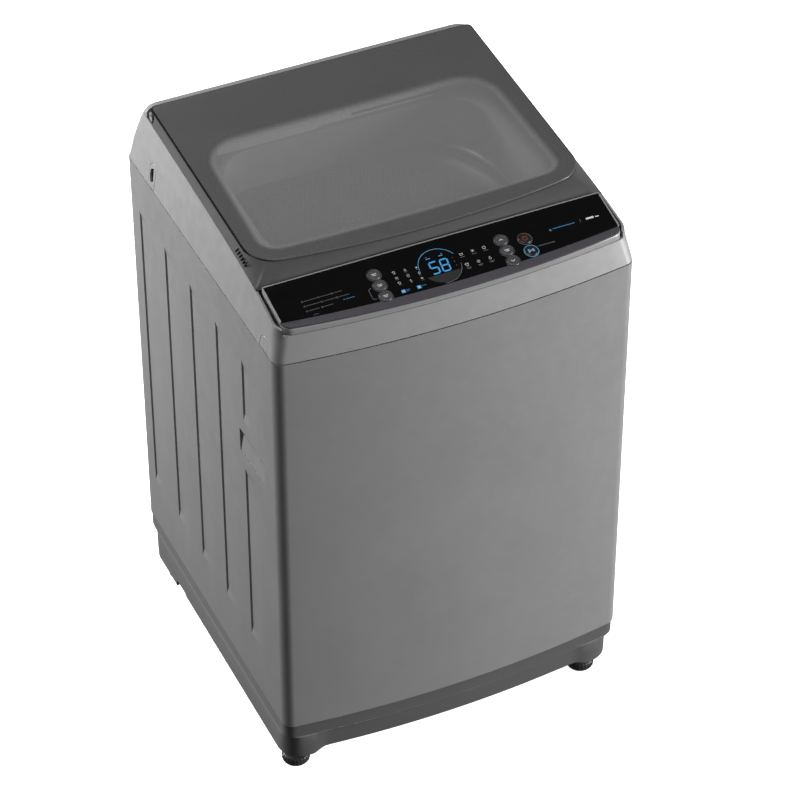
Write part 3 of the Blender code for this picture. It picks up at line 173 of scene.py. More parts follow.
def front_corner(half, front_y, radius, steps=10, bow=BOW_RADIUS):
    corner = (-half, bow_y(half, front_y, bow))
    inner = -half + 1.3 * radius
    return fillet((-half, corner[1] + 0.1), corner, (inner, bow_y(inner, front_y, bow)), radius, steps)


def plan_outline(half, front_y, rear_y, front_radius, rear_radius, bow_steps=28, bow=BOW_RADIUS):
    """The machine's outline from above, counter-clockwise from the left rear corner."""
    left_rear = fillet((0.0, rear_y), (-half, rear_y), (-half, rear_y - 0.1), rear_radius, 8)
    left_front = front_corner(half, front_y, front_radius, bow=bow)
    start = left_front[-1][0]
    xs = [start - 2 * start * i / bow_steps for i in range(1, bow_steps)]
    front = [(x, bow_y(x, front_y, bow)) for x in xs]
    right = [(-x, y) for x, y in reversed(left_rear + left_front)]
    return left_rear + left_front + front + right


def curve_through(line, position):
    """A smooth curve through (position, height) points."""
    last = len(line) - 2
    for i in range(last + 1):
        (a, low), (b, high) = line[i], line[i + 1]
        if position <= b or i == last:
            before, after = line[max(0, i - 1)], line[min(last + 1, i + 2)]
            t = min(1.0, max(0.0, (position - a) / (b - a)))
            m0 = (high - before[1]) / (b - before[0]) * (b - a)
            m1 = (after[1] - low) / (after[0] - a) * (b - a)
            h = t * t * (3 - 2 * t)
            return low * (1 - h) + high * h + m0 * t * (1 - t) ** 2 - m1 * t * t * (1 - t)


def level(outline, z):
    return [(x, y, z) for x, y in outline]


def circle(radius, at=(0.0, 0.0), steps=32, start=0.0, stop=2 * pi):
    whole = abs(stop - start) > 6.28
    angles = [start + (stop - start) * i / steps for i in range(steps if whole else steps + 1)]
    return [(at[0] + radius * cos(a), at[1] + radius * sin(a)) for a in angles]


def smooth_step(t):
    t = min(1.0, max(0.0, t))
    return t * t * (3 - 2 * t)


def side_x(z):
    return HALF_WIDTH - CHEEK_TAPER * max(0.0, z - SEAM_Z)


def rear_y(z):
    return curve_through(REAR_LINE, z)


def cheek_z(y):
    return curve_through(CHEEK_LINE, y)


def frame_front(z):
    share = min(1.0, max(0.0, (z - SEAM_Z) / (CONSOLE_SEAM_Z - SEAM_Z)))
    return FRONT_Y + (BEZEL_FRONT_Y - FRONT_Y) * share


def lid_z(y):
    return LID_FRONT_Z + (y - LID_FRONT_Y) * LID_SLOPE


def deck_z(y):
    return lid_z(y) - 0.036


def console_z(y):
    return CONSOLE_REAR_Z + (y - CONSOLE_REAR_Y) * CONSOLE_SLOPE


# ---------------------------------------------------------------- materials


class Nodes:
    """A short way to write a node tree."""

    def __init__(self, name):
        self.material = bpy.data.materials.new(name)
        self.material.use_nodes = True
        self.tree = self.material.node_tree
        self.shader = self.tree.nodes["Principled BSDF"]
        self.place = self.add("ShaderNodeTexCoord").outputs["Object"]

    def add(self, kind, **settings):
        node = self.tree.nodes.new(kind)
        for key, value in settings.items():
            setattr(node, key, value)
        return node

    def link(self, output, socket):
        self.tree.links.new(output, socket)

    def scaled(self, scale):
        mapping = self.add("ShaderNodeMapping")
        mapping.inputs["Scale"].default_value = scale
        self.link(self.place, mapping.inputs["Vector"])
        return mapping.outputs["Vector"]

    def noise(self, scale, detail=4.0, stretch=None):
        node = self.add("ShaderNodeTexNoise")
        node.inputs["Scale"].default_value = scale
        node.inputs["Detail"].default_value = detail
        self.link(self.scaled(stretch) if stretch else self.place, node.inputs["Vector"])
        return node.outputs["Fac"]

    def span(self, value, low, high):
        """Maps a noise of about 0.3 to 0.7 to low to high."""
        node = self.add("ShaderNodeMapRange")
        node.inputs["From Min"].default_value = 0.3
        node.inputs["From Max"].default_value = 0.7
        node.inputs["To Min"].default_value = low
        node.inputs["To Max"].default_value = high
        self.link(value, node.inputs["Value"])
        return node.outputs["Result"]

    def tint(self, factor, first, second):
        node = self.add("ShaderNodeMix", data_type="RGBA")
        self.link(factor, node.inputs["Factor"])
        node.inputs[6].default_value = (*first, 1.0)
        node.inputs[7].default_value = (*second, 1.0)
        return node.outputs[2]

    def bump(self, height, strength, distance=0.0002):
        node = self.add("ShaderNodeBump")
        node.inputs["Strength"].default_value = strength
        node.inputs["Distance"].default_value = distance
        self.link(height, node.inputs["Height"])
        self.link(node.outputs["Normal"], self.shader.inputs["Normal"])

    def set(self, **values):
        for key, value in values.items():
            self.shader.inputs[key.replace("_", " ")].default_value = value


def shade(colour, share):
    return tuple(c * share for c in colour)


def paint(name, colour, roughness=0.4, metallic=0.0, grain=700.0, depth=0.12, vary=0.06, shine=0.5):
    """Painted or moulded surface: fine grain, slow colour change and roughness that varies a little."""
    made = Nodes(name)
    slow = made.span(made.noise(9.0, 3.0), 0.0, 1.0)
    tone = made.tint(slow, shade(colour, 1 - vary), shade(colour, 1 + vary))
    made.link(tone, made.shader.inputs["Base Color"])
    fine = made.noise(grain, 2.0)
    rough = made.span(made.noise(60.0, 5.0), roughness - 0.05, roughness + 0.05)
    made.link(rough, made.shader.inputs["Roughness"])
    made.set(Metallic=metallic, Specular_IOR_Level=shine)
    made.bump(fine, depth)
    return made.material


def brushed(name, colour, roughness=0.3, stretch=(400.0, 400.0, 6.0)):
    """Metal with fine lines along Z."""
    made = Nodes(name)
    lines = made.noise(1.0, 6.0, stretch)
    streaks = made.tint(made.span(lines, 0.0, 1.0), shade(colour, 0.85), shade(colour, 1.1))
    made.link(streaks, made.shader.inputs["Base Color"])
    made.link(made.span(made.noise(14.0), roughness - 0.06, roughness + 0.1), made.shader.inputs["Roughness"])
    made.set(Metallic=1.0)
    made.bump(lines, 0.15)
    return made.material


def plain(name, colour, roughness=0.5, glow=0.0):
    """Ink or a lit segment, with a faint print texture."""
    made = Nodes(name)
    ink = made.tint(made.noise(900.0, 2.0), shade(colour, 0.92), shade(colour, 1.05))
    made.link(ink, made.shader.inputs["Base Color"])
    made.set(Roughness=roughness)
    if glow:
        made.set(Emission_Color=(*colour, 1.0), Emission_Strength=glow)
    return made.material


SILVER = (0.27, 0.27, 0.274)
MATERIALS = {
    "silver_paint": paint("silver_paint_satin", SILVER, 0.42, 0.25, 900.0, 0.1, 0.03),
    "silver_plastic": paint("silver_plastic_satin", (0.268, 0.268, 0.272), 0.4, 0.15, 1300.0, 0.1, 0.02),
    "dark_plastic": paint("dark_plastic_grain", (0.072, 0.071, 0.073), 0.45, 0.0, 1500.0, 0.25, 0.05),
    "black_plastic": paint("black_plastic_grain", (0.018, 0.018, 0.019), 0.5, 0.0, 1500.0, 0.3, 0.08),
    "white_plastic": paint("white_plastic_moulded", (0.72, 0.73, 0.73), 0.42, 0.0, 800.0, 0.1, 0.02),
    "grey_plastic": paint("grey_plastic_moulded", (0.4, 0.41, 0.43), 0.42, 0.0, 900.0, 0.12, 0.03),
    "stainless": brushed("stainless_brushed", (0.6, 0.6, 0.59), 0.26),
    "zinc_steel": paint("zinc_steel_sheet", (0.44, 0.45, 0.46), 0.44, 0.85, 260.0, 0.06, 0.07),
    "cast_alloy": paint("cast_alloy_rough", (0.42, 0.43, 0.44), 0.5, 0.9, 500.0, 0.5, 0.08),
    "rubber": paint("rubber_black", (0.022, 0.022, 0.022), 0.7, 0.0, 1200.0, 0.3, 0.1),
    "board_green": paint("board_green_lacquer", (0.02, 0.15, 0.06), 0.35, 0.0, 300.0, 0.3, 0.15),
    "black_glass": paint("black_glass_gloss", (0.0022, 0.0022, 0.0024), 0.16, 0.0, 300.0, 0.01, 0.05, 0.2),
    "smoked_glass": paint("smoked_glass_plain", (0.1, 0.1, 0.1), 0.25),
}
STRIP = paint("strip_violet_grey", (0.078, 0.072, 0.086), 0.35, 0.3, 1200.0, 0.1, 0.03)
BASE_PAINT = paint("base_grain", (0.056, 0.055, 0.057), 0.48, 0.0, 1300.0, 0.25, 0.04)
BASE_PAINT.node_tree.nodes["Principled BSDF"].inputs["Sheen Weight"].default_value = 0.28
FOOT_BLACK = paint("foot_black", (0.03, 0.03, 0.031), 0.36, 0.0, 1500.0, 0.2, 0.05)
LID_PLASTIC = paint("lid_plastic_satin", (0.07, 0.069, 0.07), 0.6, 0.0, 1300.0, 0.12, 0.03, 0.04)
# Near-black, for painted shade: laid on as thin pieces in gaps, slots and holes where the shaded inside would
# show dark.
PAINTED_SHADE_BLACK = paint("painted_shade_black", (0.004, 0.004, 0.004), 0.8, 0.0, 900.0, 0.2, 0.05, 0.05)

INK_BLUE = plain("ink_blue", (0.03, 0.2, 0.42), 0.5, 0.55)
INK_CYAN = plain("ink_cyan", (0.05, 0.24, 0.4), 0.5, 0.3)
INK_PALE_BLUE = plain("ink_pale_blue", (0.28, 0.42, 0.56), 0.5, 0.25)
INK_BLUE_DIM = plain("ink_blue_dim", (0.02, 0.11, 0.22), 0.5, 0.25)
INK_WHITE = plain("ink_white", (0.52, 0.53, 0.54), 0.5, 0.12)
INK_GREY = plain("ink_grey", (0.12, 0.122, 0.126), 0.5)
INK_FAINT = plain("ink_faint", (0.045, 0.046, 0.048), 0.5)
INK_DARK = plain("ink_dark", (0.016, 0.016, 0.017), 0.35)
INK_RED = plain("ink_red", (0.2, 0.045, 0.03), 0.5, 0.15)
INK_COPPER = plain("ink_copper", (0.12, 0.06, 0.048), 0.4)
KEY_GREY = paint("key_grey", (0.06, 0.06, 0.063), 0.35, 0.2, 1500.0, 0.1, 0.03)
KEY_BLACK = paint("key_black", (0.008, 0.008, 0.009), 0.3, 0.0, 1500.0, 0.1, 0.03)


# ---------------------------------------------------------------- mesh helpers


def put(piece, body, slot, material=None, replaces=()):
    """Gives a finished mesh its material, its body and the CAD nodes that it stands for."""
    piece.data.materials.clear()
    piece.data.materials.append(material or MATERIALS[slot])
    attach(piece, body)
    if replaces:
        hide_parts(*replaces)
    return piece


def piece_from(name, body, merge=0.0, turn=True):
    """Links a bmesh as an object."""
    if merge:
        bmesh.ops.remove_doubles(body, verts=body.verts, dist=merge)
    if turn:
        bmesh.ops.recalc_face_normals(body, faces=body.faces)
    mesh = bpy.data.meshes.new(name)
    body.to_mesh(mesh)
    body.free()
    made = bpy.data.objects.new(name, mesh)
    bpy.context.scene.collection.objects.link(made)
    return made


def smooth(piece, angle=30):
    piece.data.shade_smooth()
    piece.data.set_sharp_from_angle(angle=radians(angle))
    return piece


def bevel(piece, width, segments=2, angle=40):
    step = piece.modifiers.new("edge", "BEVEL")
    step.width = width
    step.segments = segments
    step.limit_method = "ANGLE"
    step.angle_limit = radians(angle)
    step.harden_normals = False
    return piece


def applied(piece):
    """Turns a piece's modifiers into plain mesh."""
    graph = bpy.context.evaluated_depsgraph_get()
    bpy.context.view_layer.update()
    mesh = bpy.data.meshes.new_from_object(piece.evaluated_get(graph))
    old = piece.data
    piece.modifiers.clear()
    piece.data = mesh
    bpy.data.meshes.remove(old)
    return piece


def box(name, low, high):
    body = bmesh.new()
    size = [b - a for a, b in zip(low, high)]
    middle = [(a + b) / 2 for a, b in zip(low, high)]
    bmesh.ops.create_cube(body, size=1.0, matrix=Matrix.Translation(middle) @ Matrix.Diagonal((*size, 1.0)))
    return piece_from(name, body)


def bridge(body, first, second):
    """A band of faces between two closed rings of equally many points."""
    for i in range(len(first)):
        j = (i + 1) % len(first)
        body.faces.new((first[i], first[j], second[j], second[i]))


def bridge_all(body, rings, closed=True):
    """Bands between neighbouring rings, and from the last one back to the first."""
    for first, second in zip(rings, rings[1:] + (rings[:1] if closed else [])):
        bridge(body, first, second)


def prism(name, outline, low, high, plane="xy"):
    """A flat outline made solid: plane xy runs along Z, yz along X, xz along Y."""
    body = bmesh.new()
    orders = {"xy": lambda u, v, w: (u, v, w), "yz": lambda u, v, w: (w, u, v), "xz": lambda u, v, w: (u, w, v)}
    rings = [[body.verts.new(orders[plane](u, v, w)) for u, v in outline] for w in (low, high)]
    bridge(body, *rings)
    for ring in rings:
        body.faces.new(ring)
    return piece_from(name, body)


def loft(name, rings):
    """A closed body through rings of equally many points."""
    body = bmesh.new()
    levels = [[body.verts.new(point) for point in ring] for ring in rings]
    bridge_all(body, levels, closed=False)
    body.faces.new(levels[0])
    body.faces.new(levels[-1])
    return piece_from(name, body)


def combine(piece, other, operation):
    """One exact boolean, applied; the other object is used up."""
    step = piece.modifiers.new("cut", "BOOLEAN")
    step.operation = operation
    step.solver = "EXACT"
    step.object = other
    applied(piece)
    bpy.data.objects.remove(other, do_unlink=True)
    return piece


def cut(piece, *tools):
    for tool in tools:
        combine(piece, tool, "DIFFERENCE")
    return piece


def join(piece, *additions):
    for addition in additions:
        combine(piece, addition, "UNION")
    return piece


def turned(name, profile, sides=64, at=(0.0, 0.0), wave=None):
    """A closed (radius, height) profile turned about a vertical axis; wave(angle, r, z) may shift the radius."""
    body = bmesh.new()
    rings = []
    for r, z in profile:
        if r < 1e-6:
            rings.append([body.verts.new((at[0], at[1], z))])
            continue
        ring = []
        for i in range(sides):
            angle = 2 * pi * i / sides
            reach = r + (wave(angle, r, z) if wave else 0.0)
            ring.append(body.verts.new((at[0] + reach * cos(angle), at[1] + reach * sin(angle), z)))
        rings.append(ring)
    pairs = list(zip(rings, rings[1:]))
    if len(rings[0]) > 1 and len(rings[-1]) > 1:
        pairs.append((rings[-1], rings[0]))
    for first, second in pairs:
        for i in range(sides):
            j = (i + 1) % sides
            corners = [first[i % len(first)], first[j % len(first)]]
            corners += [second[j % len(second)], second[i % len(second)]]
            corners = [v for k, v in enumerate(corners) if v not in corners[:k]]
            if len(corners) > 2:
                body.faces.new(corners)
    return piece_from(name, body)


def rod(name, radius, low, high, sides=24, at=(0.0, 0.0)):
    """A plain upright rod, for cutting holes and adding bosses."""
    return turned(name, [(0.0, low), (radius, low), (radius, high), (0.0, high)], sides, at)


def lying_rod(name, radius, near, far, sides, x, z):
    """A rod along Y at a place on the rear wall."""
    made = rod(name, radius, near, far, sides)
    made.data.transform(Matrix.Translation((x, 0.0, z)) @ Matrix.Rotation(-pi / 2, 4, "X"))
    return made


def sheet(piece, thickness):
    step = piece.modifiers.new("sheet", "SOLIDIFY")
    step.thickness = thickness
    step.offset = -1.0
    applied(piece)
    body = bmesh.new()
    body.from_mesh(piece.data)
    bmesh.ops.recalc_face_normals(body, faces=body.faces)
    body.to_mesh(piece.data)
    body.free()
    return piece


# ---------------------------------------------------------------- cabinet


def cabinet_columns():
    """Columns from the left rear flange to the right one: x, y, how deep the embossing is, rib number."""
    rear = fillet((0.0, REAR_Y), (-HALF_WIDTH, REAR_Y), (-HALF_WIDTH, 0.0), REAR_CORNER, 20)
    columns = [(-0.238, REAR_Y, 0.0, -1)] + [(x, y, 0.0, -1) for x, y in rear]
    for index, step in enumerate(RIB_STEPS):
        if index == 4:
            columns.append((-HALF_WIDTH, HANDLE_Y[1], 0.0, index))
        columns.append((-HALF_WIDTH, step + 0.0008, 0.0, index))
        columns.append((-HALF_WIDTH, step + 0.0006, 0.08, index))
        columns.append((-HALF_WIDTH, step + 0.0002, 0.92, index))
        columns.append((-HALF_WIDTH, step, 1.0, index))
        for share in (0.25, 0.5, 0.75, 0.95):
            columns.append((-HALF_WIDTH, step - RIB_LENGTH * share, (1 - share) ** 1.15, index))
        columns.append((-HALF_WIDTH, step - RIB_LENGTH * 1.05, 0.0, index))
        if index == 4:
            columns.append((-HALF_WIDTH, HANDLE_Y[0], 0.0, index))
    corner = front_corner(HALF_WIDTH, FRONT_Y, FRONT_CORNER, 22)
    columns += [(x, y, 0.0, -1) for x, y in corner]
    start = corner[-1][0]
    columns += [(start * (1 - i / 16), bow_y(start * (1 - i / 16)), 0.0, -1) for i in range(1, 17)]
    return columns + [(-x, y, emboss, rib) for x, y, emboss, rib in reversed(columns[:-1])]


def rib_share(z, rib):
    """How deep a rib is at a height, from 0 to 1."""
    share = min((z - RIB_BOTTOM) / RIB_FACET, (RIB_TOP - z) / RIB_FACET, 1.0)
    if rib == 4:
        low, high = HANDLE_BREAK
        middle = (low + high) / 2
        share = min(share, (abs(z - middle) - (high - low) / 2) / RIB_FACET)
    return max(0.0, share)


def cabinet_shell():
    """The wrapped sheet: ribbed sides, rounded corners, bowed front, a rolled bottom edge and the hand openings.
    """
    columns = cabinet_columns()
    low, high = HANDLE_BREAK
    heights = [PANEL_BOTTOM, PANEL_BOTTOM + 0.0012, RIB_BOTTOM, RIB_BOTTOM + RIB_FACET]
    heights += [0.36, 0.45, low - RIB_FACET]
    heights += [low, HANDLE_Z[0], HANDLE_Z[1], high, high + RIB_FACET, RIB_TOP - RIB_FACET, RIB_TOP]
    heights += [SEAM_Z - SEAM_GAP - 0.0012, SEAM_Z - SEAM_GAP]
    body = bmesh.new()
    rows = []
    for k, z in enumerate(heights):
        roll = 0.0007 if k == 0 else 0.0
        row = []
        for x, y, emboss, rib in columns:
            depth = RIB_DEPTH * emboss * rib_share(z, rib) + roll
            across = Vector((-1.0 if x > 0 else 1.0, 0.0))
            inward = Vector((-x * 0.9, -y * 0.9)).normalized() if roll else across
            row.append(body.verts.new((x + inward.x * depth, y + inward.y * depth, z)))
        rows.append(row)
    for lower, upper in zip(rows, rows[1:]):
        for i in range(len(lower) - 1):
            corners = (lower[i], lower[i + 1], upper[i + 1], upper[i])
            middle = sum((v.co for v in corners), Vector()) / 4
            in_y = HANDLE_Y[0] < middle.y < HANDLE_Y[1]
            in_z = HANDLE_Z[0] < middle.z < HANDLE_Z[1]
            if not (abs(middle.x) > 0.26 and in_y and in_z):
                body.faces.new(corners)
    piece = piece_from("cabinet_shell", body, turn=False)
    sheet(piece, 0.001)
    smooth(piece, 6)
    put(piece, "cabinet", "silver_paint", replaces=["cabinet_wrap"])
    return piece


def corner_gussets():
    """Four welded plates in the cabinet's top corners; the suspension rods hang from them."""
    for side in (-1, 1):
        for front in (True, False):
            inset = 0.0012
            half = HALF_WIDTH - inset
            if front:
                edge = front_corner(half, FRONT_Y + inset, FRONT_CORNER - inset, 8)
                outline = [(-half, -0.14)] + edge + [(-0.15, bow_y(0.15, FRONT_Y + inset))]
            else:
                clear = REAR_Y - 0.0034
                edge = fillet((0.0, clear), (-half, clear), (-half, 0.0), REAR_CORNER - inset, 8)
                outline = [(-half, 0.165), (-0.165, clear)] + edge
            outline = [(-side * x, y) for x, y in outline]
            at = (side * ROD_OFFSET, (-1 if front else 1) * ROD_OFFSET)
            name = f"gusset_{'front' if front else 'rear'}_{'left' if side < 0 else 'right'}"
            piece = prism(name, outline, GUSSET_Z, GUSSET_Z + 0.0015)
            cut(piece, rod("hole", 0.0075, 0.7, 0.9, 24, at))
            bevel(piece, 0.0004, 1)
            put(piece, "cabinet", "zinc_steel")


def hand_cup(name, side):
    """The finger cup behind a side opening: deep at the top, running out flush at the bottom."""
    face = HALF_WIDTH - 0.0013
    low, high = HANDLE_Z[0] + 0.0008, HANDLE_Z[1] - 0.0008
    rear, front = HANDLE_Y[1] - 0.0008, HANDLE_Y[0] + 0.0008
    flange = 0.006
    outer = [(face, low - flange), (face, high + flange), (face - 0.002, high + flange)]
    outer += [(face - 0.022, high + 0.002), (face - 0.022, high - 0.008), (face - 0.0025, low - flange)]
    piece = prism(name, [(side * x, z) for x, z in outer], front - flange, rear + flange, "xz")
    ramp = [(face + 0.0003, low), (face - 0.0012, low + 0.014), (face - 0.0028, low + 0.028)]
    ramp += [(face - 0.017, high - 0.0075)]
    hollow = [(face + 0.01, low), (face + 0.01, high), (face - 0.017, high)] + ramp[::-1]
    cut(piece, prism("hollow", [(side * x, z) for x, z in hollow], front, rear, "xz"))
    smooth(piece, 25)
    put(piece, "cabinet", "silver_paint", replaces=[name])
    # Black strips along the top and front edges of the opening: painted shade for the shadowed gap round the
    # cup.
    near, far = sorted((side * (face + 0.0002), side * (face - 0.0004)))
    first, last, top = HANDLE_Y[0] + 0.0001, HANDLE_Y[1] - 0.0001, HANDLE_Z[1] - 0.0001
    edge = box(name + "_edge_painted_shade", (near, first, high - 0.0004), (far, last, top))
    join(edge, box("edge_front_painted_shade", (near, first, HANDLE_Z[0] + 0.012), (far, front + 0.0004, top)))
    put(edge, "cabinet", "black_plastic", PAINTED_SHADE_BLACK)
    # A black plate on the hollow's rear wall: painted shadow for the deep, shaded top of the hollow.
    shadow = [(face - 0.0168, high - 0.006), (face - 0.0168, high - 0.0002)]
    shadow += [(face - 0.0016, high - 0.0002), (face - 0.003, low + 0.027)]
    back = prism(name + "_painted_shadow", [(side * x, z) for x, z in shadow], rear - 0.0005, rear - 0.0001, "xz")
    put(back, "cabinet", "black_plastic", PAINTED_SHADE_BLACK)


# ---------------------------------------------------------------- base and feet


def base_ring(z, share, inset=0.0):
    """One level of the base: share runs from the upper band, 0, to the skirt with its corner lobes, 1."""
    half = 0.2738 - 0.0016 * share - inset
    front = BASE_FRONT + 0.007 * share + inset
    radius = 0.02 + 0.016 * share - inset / 2
    rear, rear_radius = 0.275 - 0.0015 * share - inset, 0.021 + 0.015 * share - inset / 2
    outline = plan_outline(half, front, rear, radius, rear_radius, 60)
    ring = []
    for x, y in outline:
        if y < -0.2:
            y += LOBE_DEPTH * share * smooth_step((LOBE_X - abs(x)) / 0.03)
        ring.append((x, y, z))
    return ring


def base():
    """The moulded base: an upper band, a skirt with a lobe at each front corner, a shelf and a boss per foot."""
    levels = [(BASE_BOTTOM, 1.0, 0.0012), (BASE_BOTTOM + 0.0012, 1.0, 0.0), (0.06, 0.97, 0.0)]
    levels += [(0.083, 0.92, 0.0), (0.088, 0.55, 0.0), (0.0905, 0.15, 0.0), (0.0925, 0.02, 0.0)]
    levels += [(0.0945, 0.0, 0.0)]
    levels += [(BASE_TOP - 0.001, 0.0, 0.0), (BASE_TOP, 0.0, 0.001)]
    piece = loft("base_shell", [base_ring(*entry) for entry in levels])
    well = plan_outline(0.205, -0.19, 0.19, 0.03, 0.03, 4, 50.0)
    cut(
        piece,
        loft("inside_low", [base_ring(z, 1.0, 0.004) for z in (0.0, SHELF_Z)]),
        loft("inside_high", [base_ring(z, 0.0, 0.004) for z in (SHELF_Z + 0.004, 0.2)]),
        prism("well", well, 0.0, 0.2),
    )
    for x in (-FOOT_X, FOOT_X):
        for y in (-FOOT_Y, FOOT_Y):
            join(piece, rod("boss", 0.017, BASE_BOTTOM + 0.001, 0.088, 32, (x, y)))
            cut(piece, rod("thread", 0.0045, 0.0, 0.08, 20, (x, y)))
    shares = [i / 20 for i in range(21)]
    left = [(-LOBE_X + ARCH_RAMP * t, FRONT_BOTTOM - 0.001 + ARCH_RISE * smooth_step(t)) for t in shares]
    arch_line = left + [(-u, z) for u, z in reversed(left)] + [(LOBE_X, 0.0), (-LOBE_X, 0.0)]
    cut(piece, prism("front_arch", arch_line, -0.31, -0.2, "xz"))
    near, far = (NOTCH_FRONT_Y, 0.0), (NOTCH_REAR_Y, 0.0)
    near_top, far_top = (NOTCH_FRONT_Y, NOTCH_TOP), (NOTCH_REAR_Y, NOTCH_TOP)
    notch = [near, far] + fillet(far, far_top, near_top, 0.007, 6) + fillet(far_top, near_top, near, 0.007, 6)
    cut(piece, prism("side_notch", notch, -0.3, 0.3, "yz"))
    lift = [(-0.31, 0.0), (LIFT_Y, 0.0), (LIFT_Y, FRONT_BOTTOM), (-0.31, FRONT_BOTTOM)]
    cut(piece, prism("front_lift", lift, -0.3, 0.3, "yz"))
    cut(piece, lying_rod("outlet_hole", 0.0168, 0.255, 0.3, 32, OUTLET_X, OUTLET_Z))
    smooth(piece, 30)
    put(piece, "cabinet", "dark_plastic", BASE_PAINT, ["base_plinth"])


def foot(name, x, y):
    """A levelling foot: a knurled pad, a thick neck and a threaded stem."""

    def knurl(angle, r, z):
        ribbed = 0.002 < z < 0.014 and r > 0.019
        return 0.0008 * (abs(((angle * FOOT_RIBS / (2 * pi)) % 1.0) - 0.5) * 2 - 0.5) if ribbed else 0.0

    neck = NECK_TOP + (FRONT_BOTTOM - BASE_BOTTOM if y < 0 else 0.0)
    profile = [(0.0, 0.076), (0.0036, 0.076)]
    for i in range(11 if y < 0 else 14):
        z = 0.074 - 0.0028 * i
        profile += [(0.004, z), (0.0034, z - 0.0014)]
    profile += [(0.004, neck), (0.012, neck), (0.013, neck - 0.001)]
    for i in range(4):
        z = 0.03 - 0.0036 * i
        profile += [(0.013, z), (0.012, z - 0.001), (0.012, z - 0.0018), (0.013, z - 0.0028)]
    profile += [(0.013, 0.016), (0.0165, 0.0156), (0.02, 0.0146), (0.021, 0.0132), (0.021, 0.003)]
    profile += [(0.0198, 0.001), (0.019, 0.0), (0.0, 0.0)]
    piece = turned("visual_" + name, profile, FOOT_RIBS * 6, (x, y), knurl)
    smooth(piece, 35)
    put(piece, name, "black_plastic", FOOT_BLACK, [name])


# ---------------------------------------------------------------- top frame


def mouth_outline(grow=0.0):
    half = 0.2025 + grow
    low, high = -0.171 - grow, 0.118 + grow
    rear = fillet((0.0, high), (-half, high), (-half, 0.0), 0.06 + grow, 14)
    front = fillet((-half, 0.0), (-half, low), (0.0, low), 0.115 + grow, 20)
    left = rear + front
    return left + [(-x, y) for x, y in reversed(left)]


def frame_ring(z, inset=0.0):
    radius = 0.018 + 0.003 * min(1.0, (z - SEAM_Z) / 0.03)
    front = frame_front(z) + inset
    return level(plan_outline(side_x(z) - inset, front, rear_y(z) - inset, radius, 0.024 - inset / 2), z)


def lean(piece, side):
    for vertex in piece.data.vertices:
        vertex.co.x -= side * CHEEK_TAPER * (vertex.co.z - SEAM_Z)
    return piece


def arch(low_y, high_y, low_z, high_z, steps=16):
    middle, radius = (low_y + high_y) / 2, (high_y - low_y) / 2
    return [(low_y, low_z), (high_y, low_z)] + circle(radius, (middle, high_z - radius), steps, 0.0, pi)


def cap_outline(shrink):
    return arch(-0.2437 + shrink, -0.2187 - shrink, SEAM_Z + 0.0015 + shrink, 0.8284 - shrink)


def gland_outline(shrink):
    return arch(0.164 + shrink, 0.187 - shrink, SEAM_Z + 0.0015 + shrink, 0.847 - shrink)


def cheek_steps(low=-0.3, high=0.31, count=60):
    return [(y, cheek_z(y)) for y in [low + (high - low) * i / count for i in range(count + 1)]]


def top_frame():
    """The plastic top: front fascia, two cheeks, rear strip, and the deck round the mouth."""
    heights = [SEAM_Z + 0.0011, 0.815, 0.825, 0.835, 0.84, CONSOLE_SEAM_Z, 0.852, 0.858]
    heights += [0.865, 0.872, 0.879, 0.885, 0.89, 0.895, 0.899, 0.902, 0.9045, 0.9065, 0.9085, 0.9103]
    heights += [REAR_TOP_Z]
    rings = [frame_ring(SEAM_Z + 0.0003, 0.0008)] + [frame_ring(z) for z in heights]
    piece = loft("top_frame_shell", rings)
    above = cheek_steps() + [(0.31, 1.0), (-0.3, 1.0)]
    cut(piece, prism("left_cheek", above, -0.3, -0.257, "yz"), prism("right_cheek", above, 0.257, 0.3, "yz"))
    back = DECK_FRONT_Y - 0.003
    recess = [(-0.31, CONSOLE_SEAM_Z), (back, CONSOLE_SEAM_Z), (back, deck_z(back))]
    recess += [(RECESS_REAR_Y, deck_z(RECESS_REAR_Y)), (RECESS_REAR_Y, 1.0), (-0.31, 1.0)]
    cut(piece, prism("lid_recess", recess, -0.2575, 0.2575, "yz"))
    inner_heights = (0.8063, 0.82, 0.835, CONSOLE_SEAM_Z, 0.858, 0.87, 0.88)
    inside = loft("frame_inside", [frame_ring(z, 0.003) for z in inner_heights])
    for vertex in inside.data.vertices:
        if vertex.co.z < SEAM_Z + 0.001:
            vertex.co.z = 0.79
    slab = [(back, 0.82), (DECK_FRONT_Y, 0.82), (DECK_FRONT_Y, deck_z(DECK_FRONT_Y) - 0.003)]
    slab += [(0.31, deck_z(0.31) - 0.003), (0.31, 1.0), (back, 1.0)]
    cut(inside, prism("slab", slab, -0.31, 0.31, "yz"))
    cut(piece, inside)
    rim = mouth_outline(0.0028)
    join(piece, loft("throat", [level(rim, 0.803), [(x, y, deck_z(y) - 0.001) for x, y in rim]]))
    cut(piece, prism("mouth", mouth_outline(), 0.7, 0.95))
    for side in (-1, 1):
        near, far = sorted((side * 0.2532, side * 0.2556))
        ear = [(0.2073, 0.89), (0.2159, 0.89)] + circle(0.0043, (HINGE_Y, 0.9052), 16, 0.0, pi)
        ear_foot = box("ear_foot", (near, 0.2045, 0.88), (side * 0.2575, 0.223, 0.893))
        join(piece, prism("ear", ear, near, far, "yz"), ear_foot)
        cut(piece, along_x(0.0027, side, 0.25, 0.262))
        cut(piece, lean(prism("cap_hole", cap_outline(0.0), *sorted((side * 0.268, side * 0.28)), "yz"), side))
    cut(piece, lean(prism("gland_hole", gland_outline(0.0), -0.29, -0.262, "yz"), -1))
    cut(piece, lying_rod("port", 0.015, 0.24, 0.29, 40, INLET_X, INLET_Z))
    smooth(piece, 28)
    put(piece, "cabinet", "silver_plastic", replaces=["top_frame"])


def along_x(radius, side, near, far):
    """A rod on the hinge's axis between two distances from the middle."""
    pin = rod("rod", radius, near, far)
    pin.data.transform(Matrix.Translation((0.0, HINGE_Y, HINGE_Z)) @ Matrix.Rotation(side * pi / 2, 4, "Y"))
    return pin


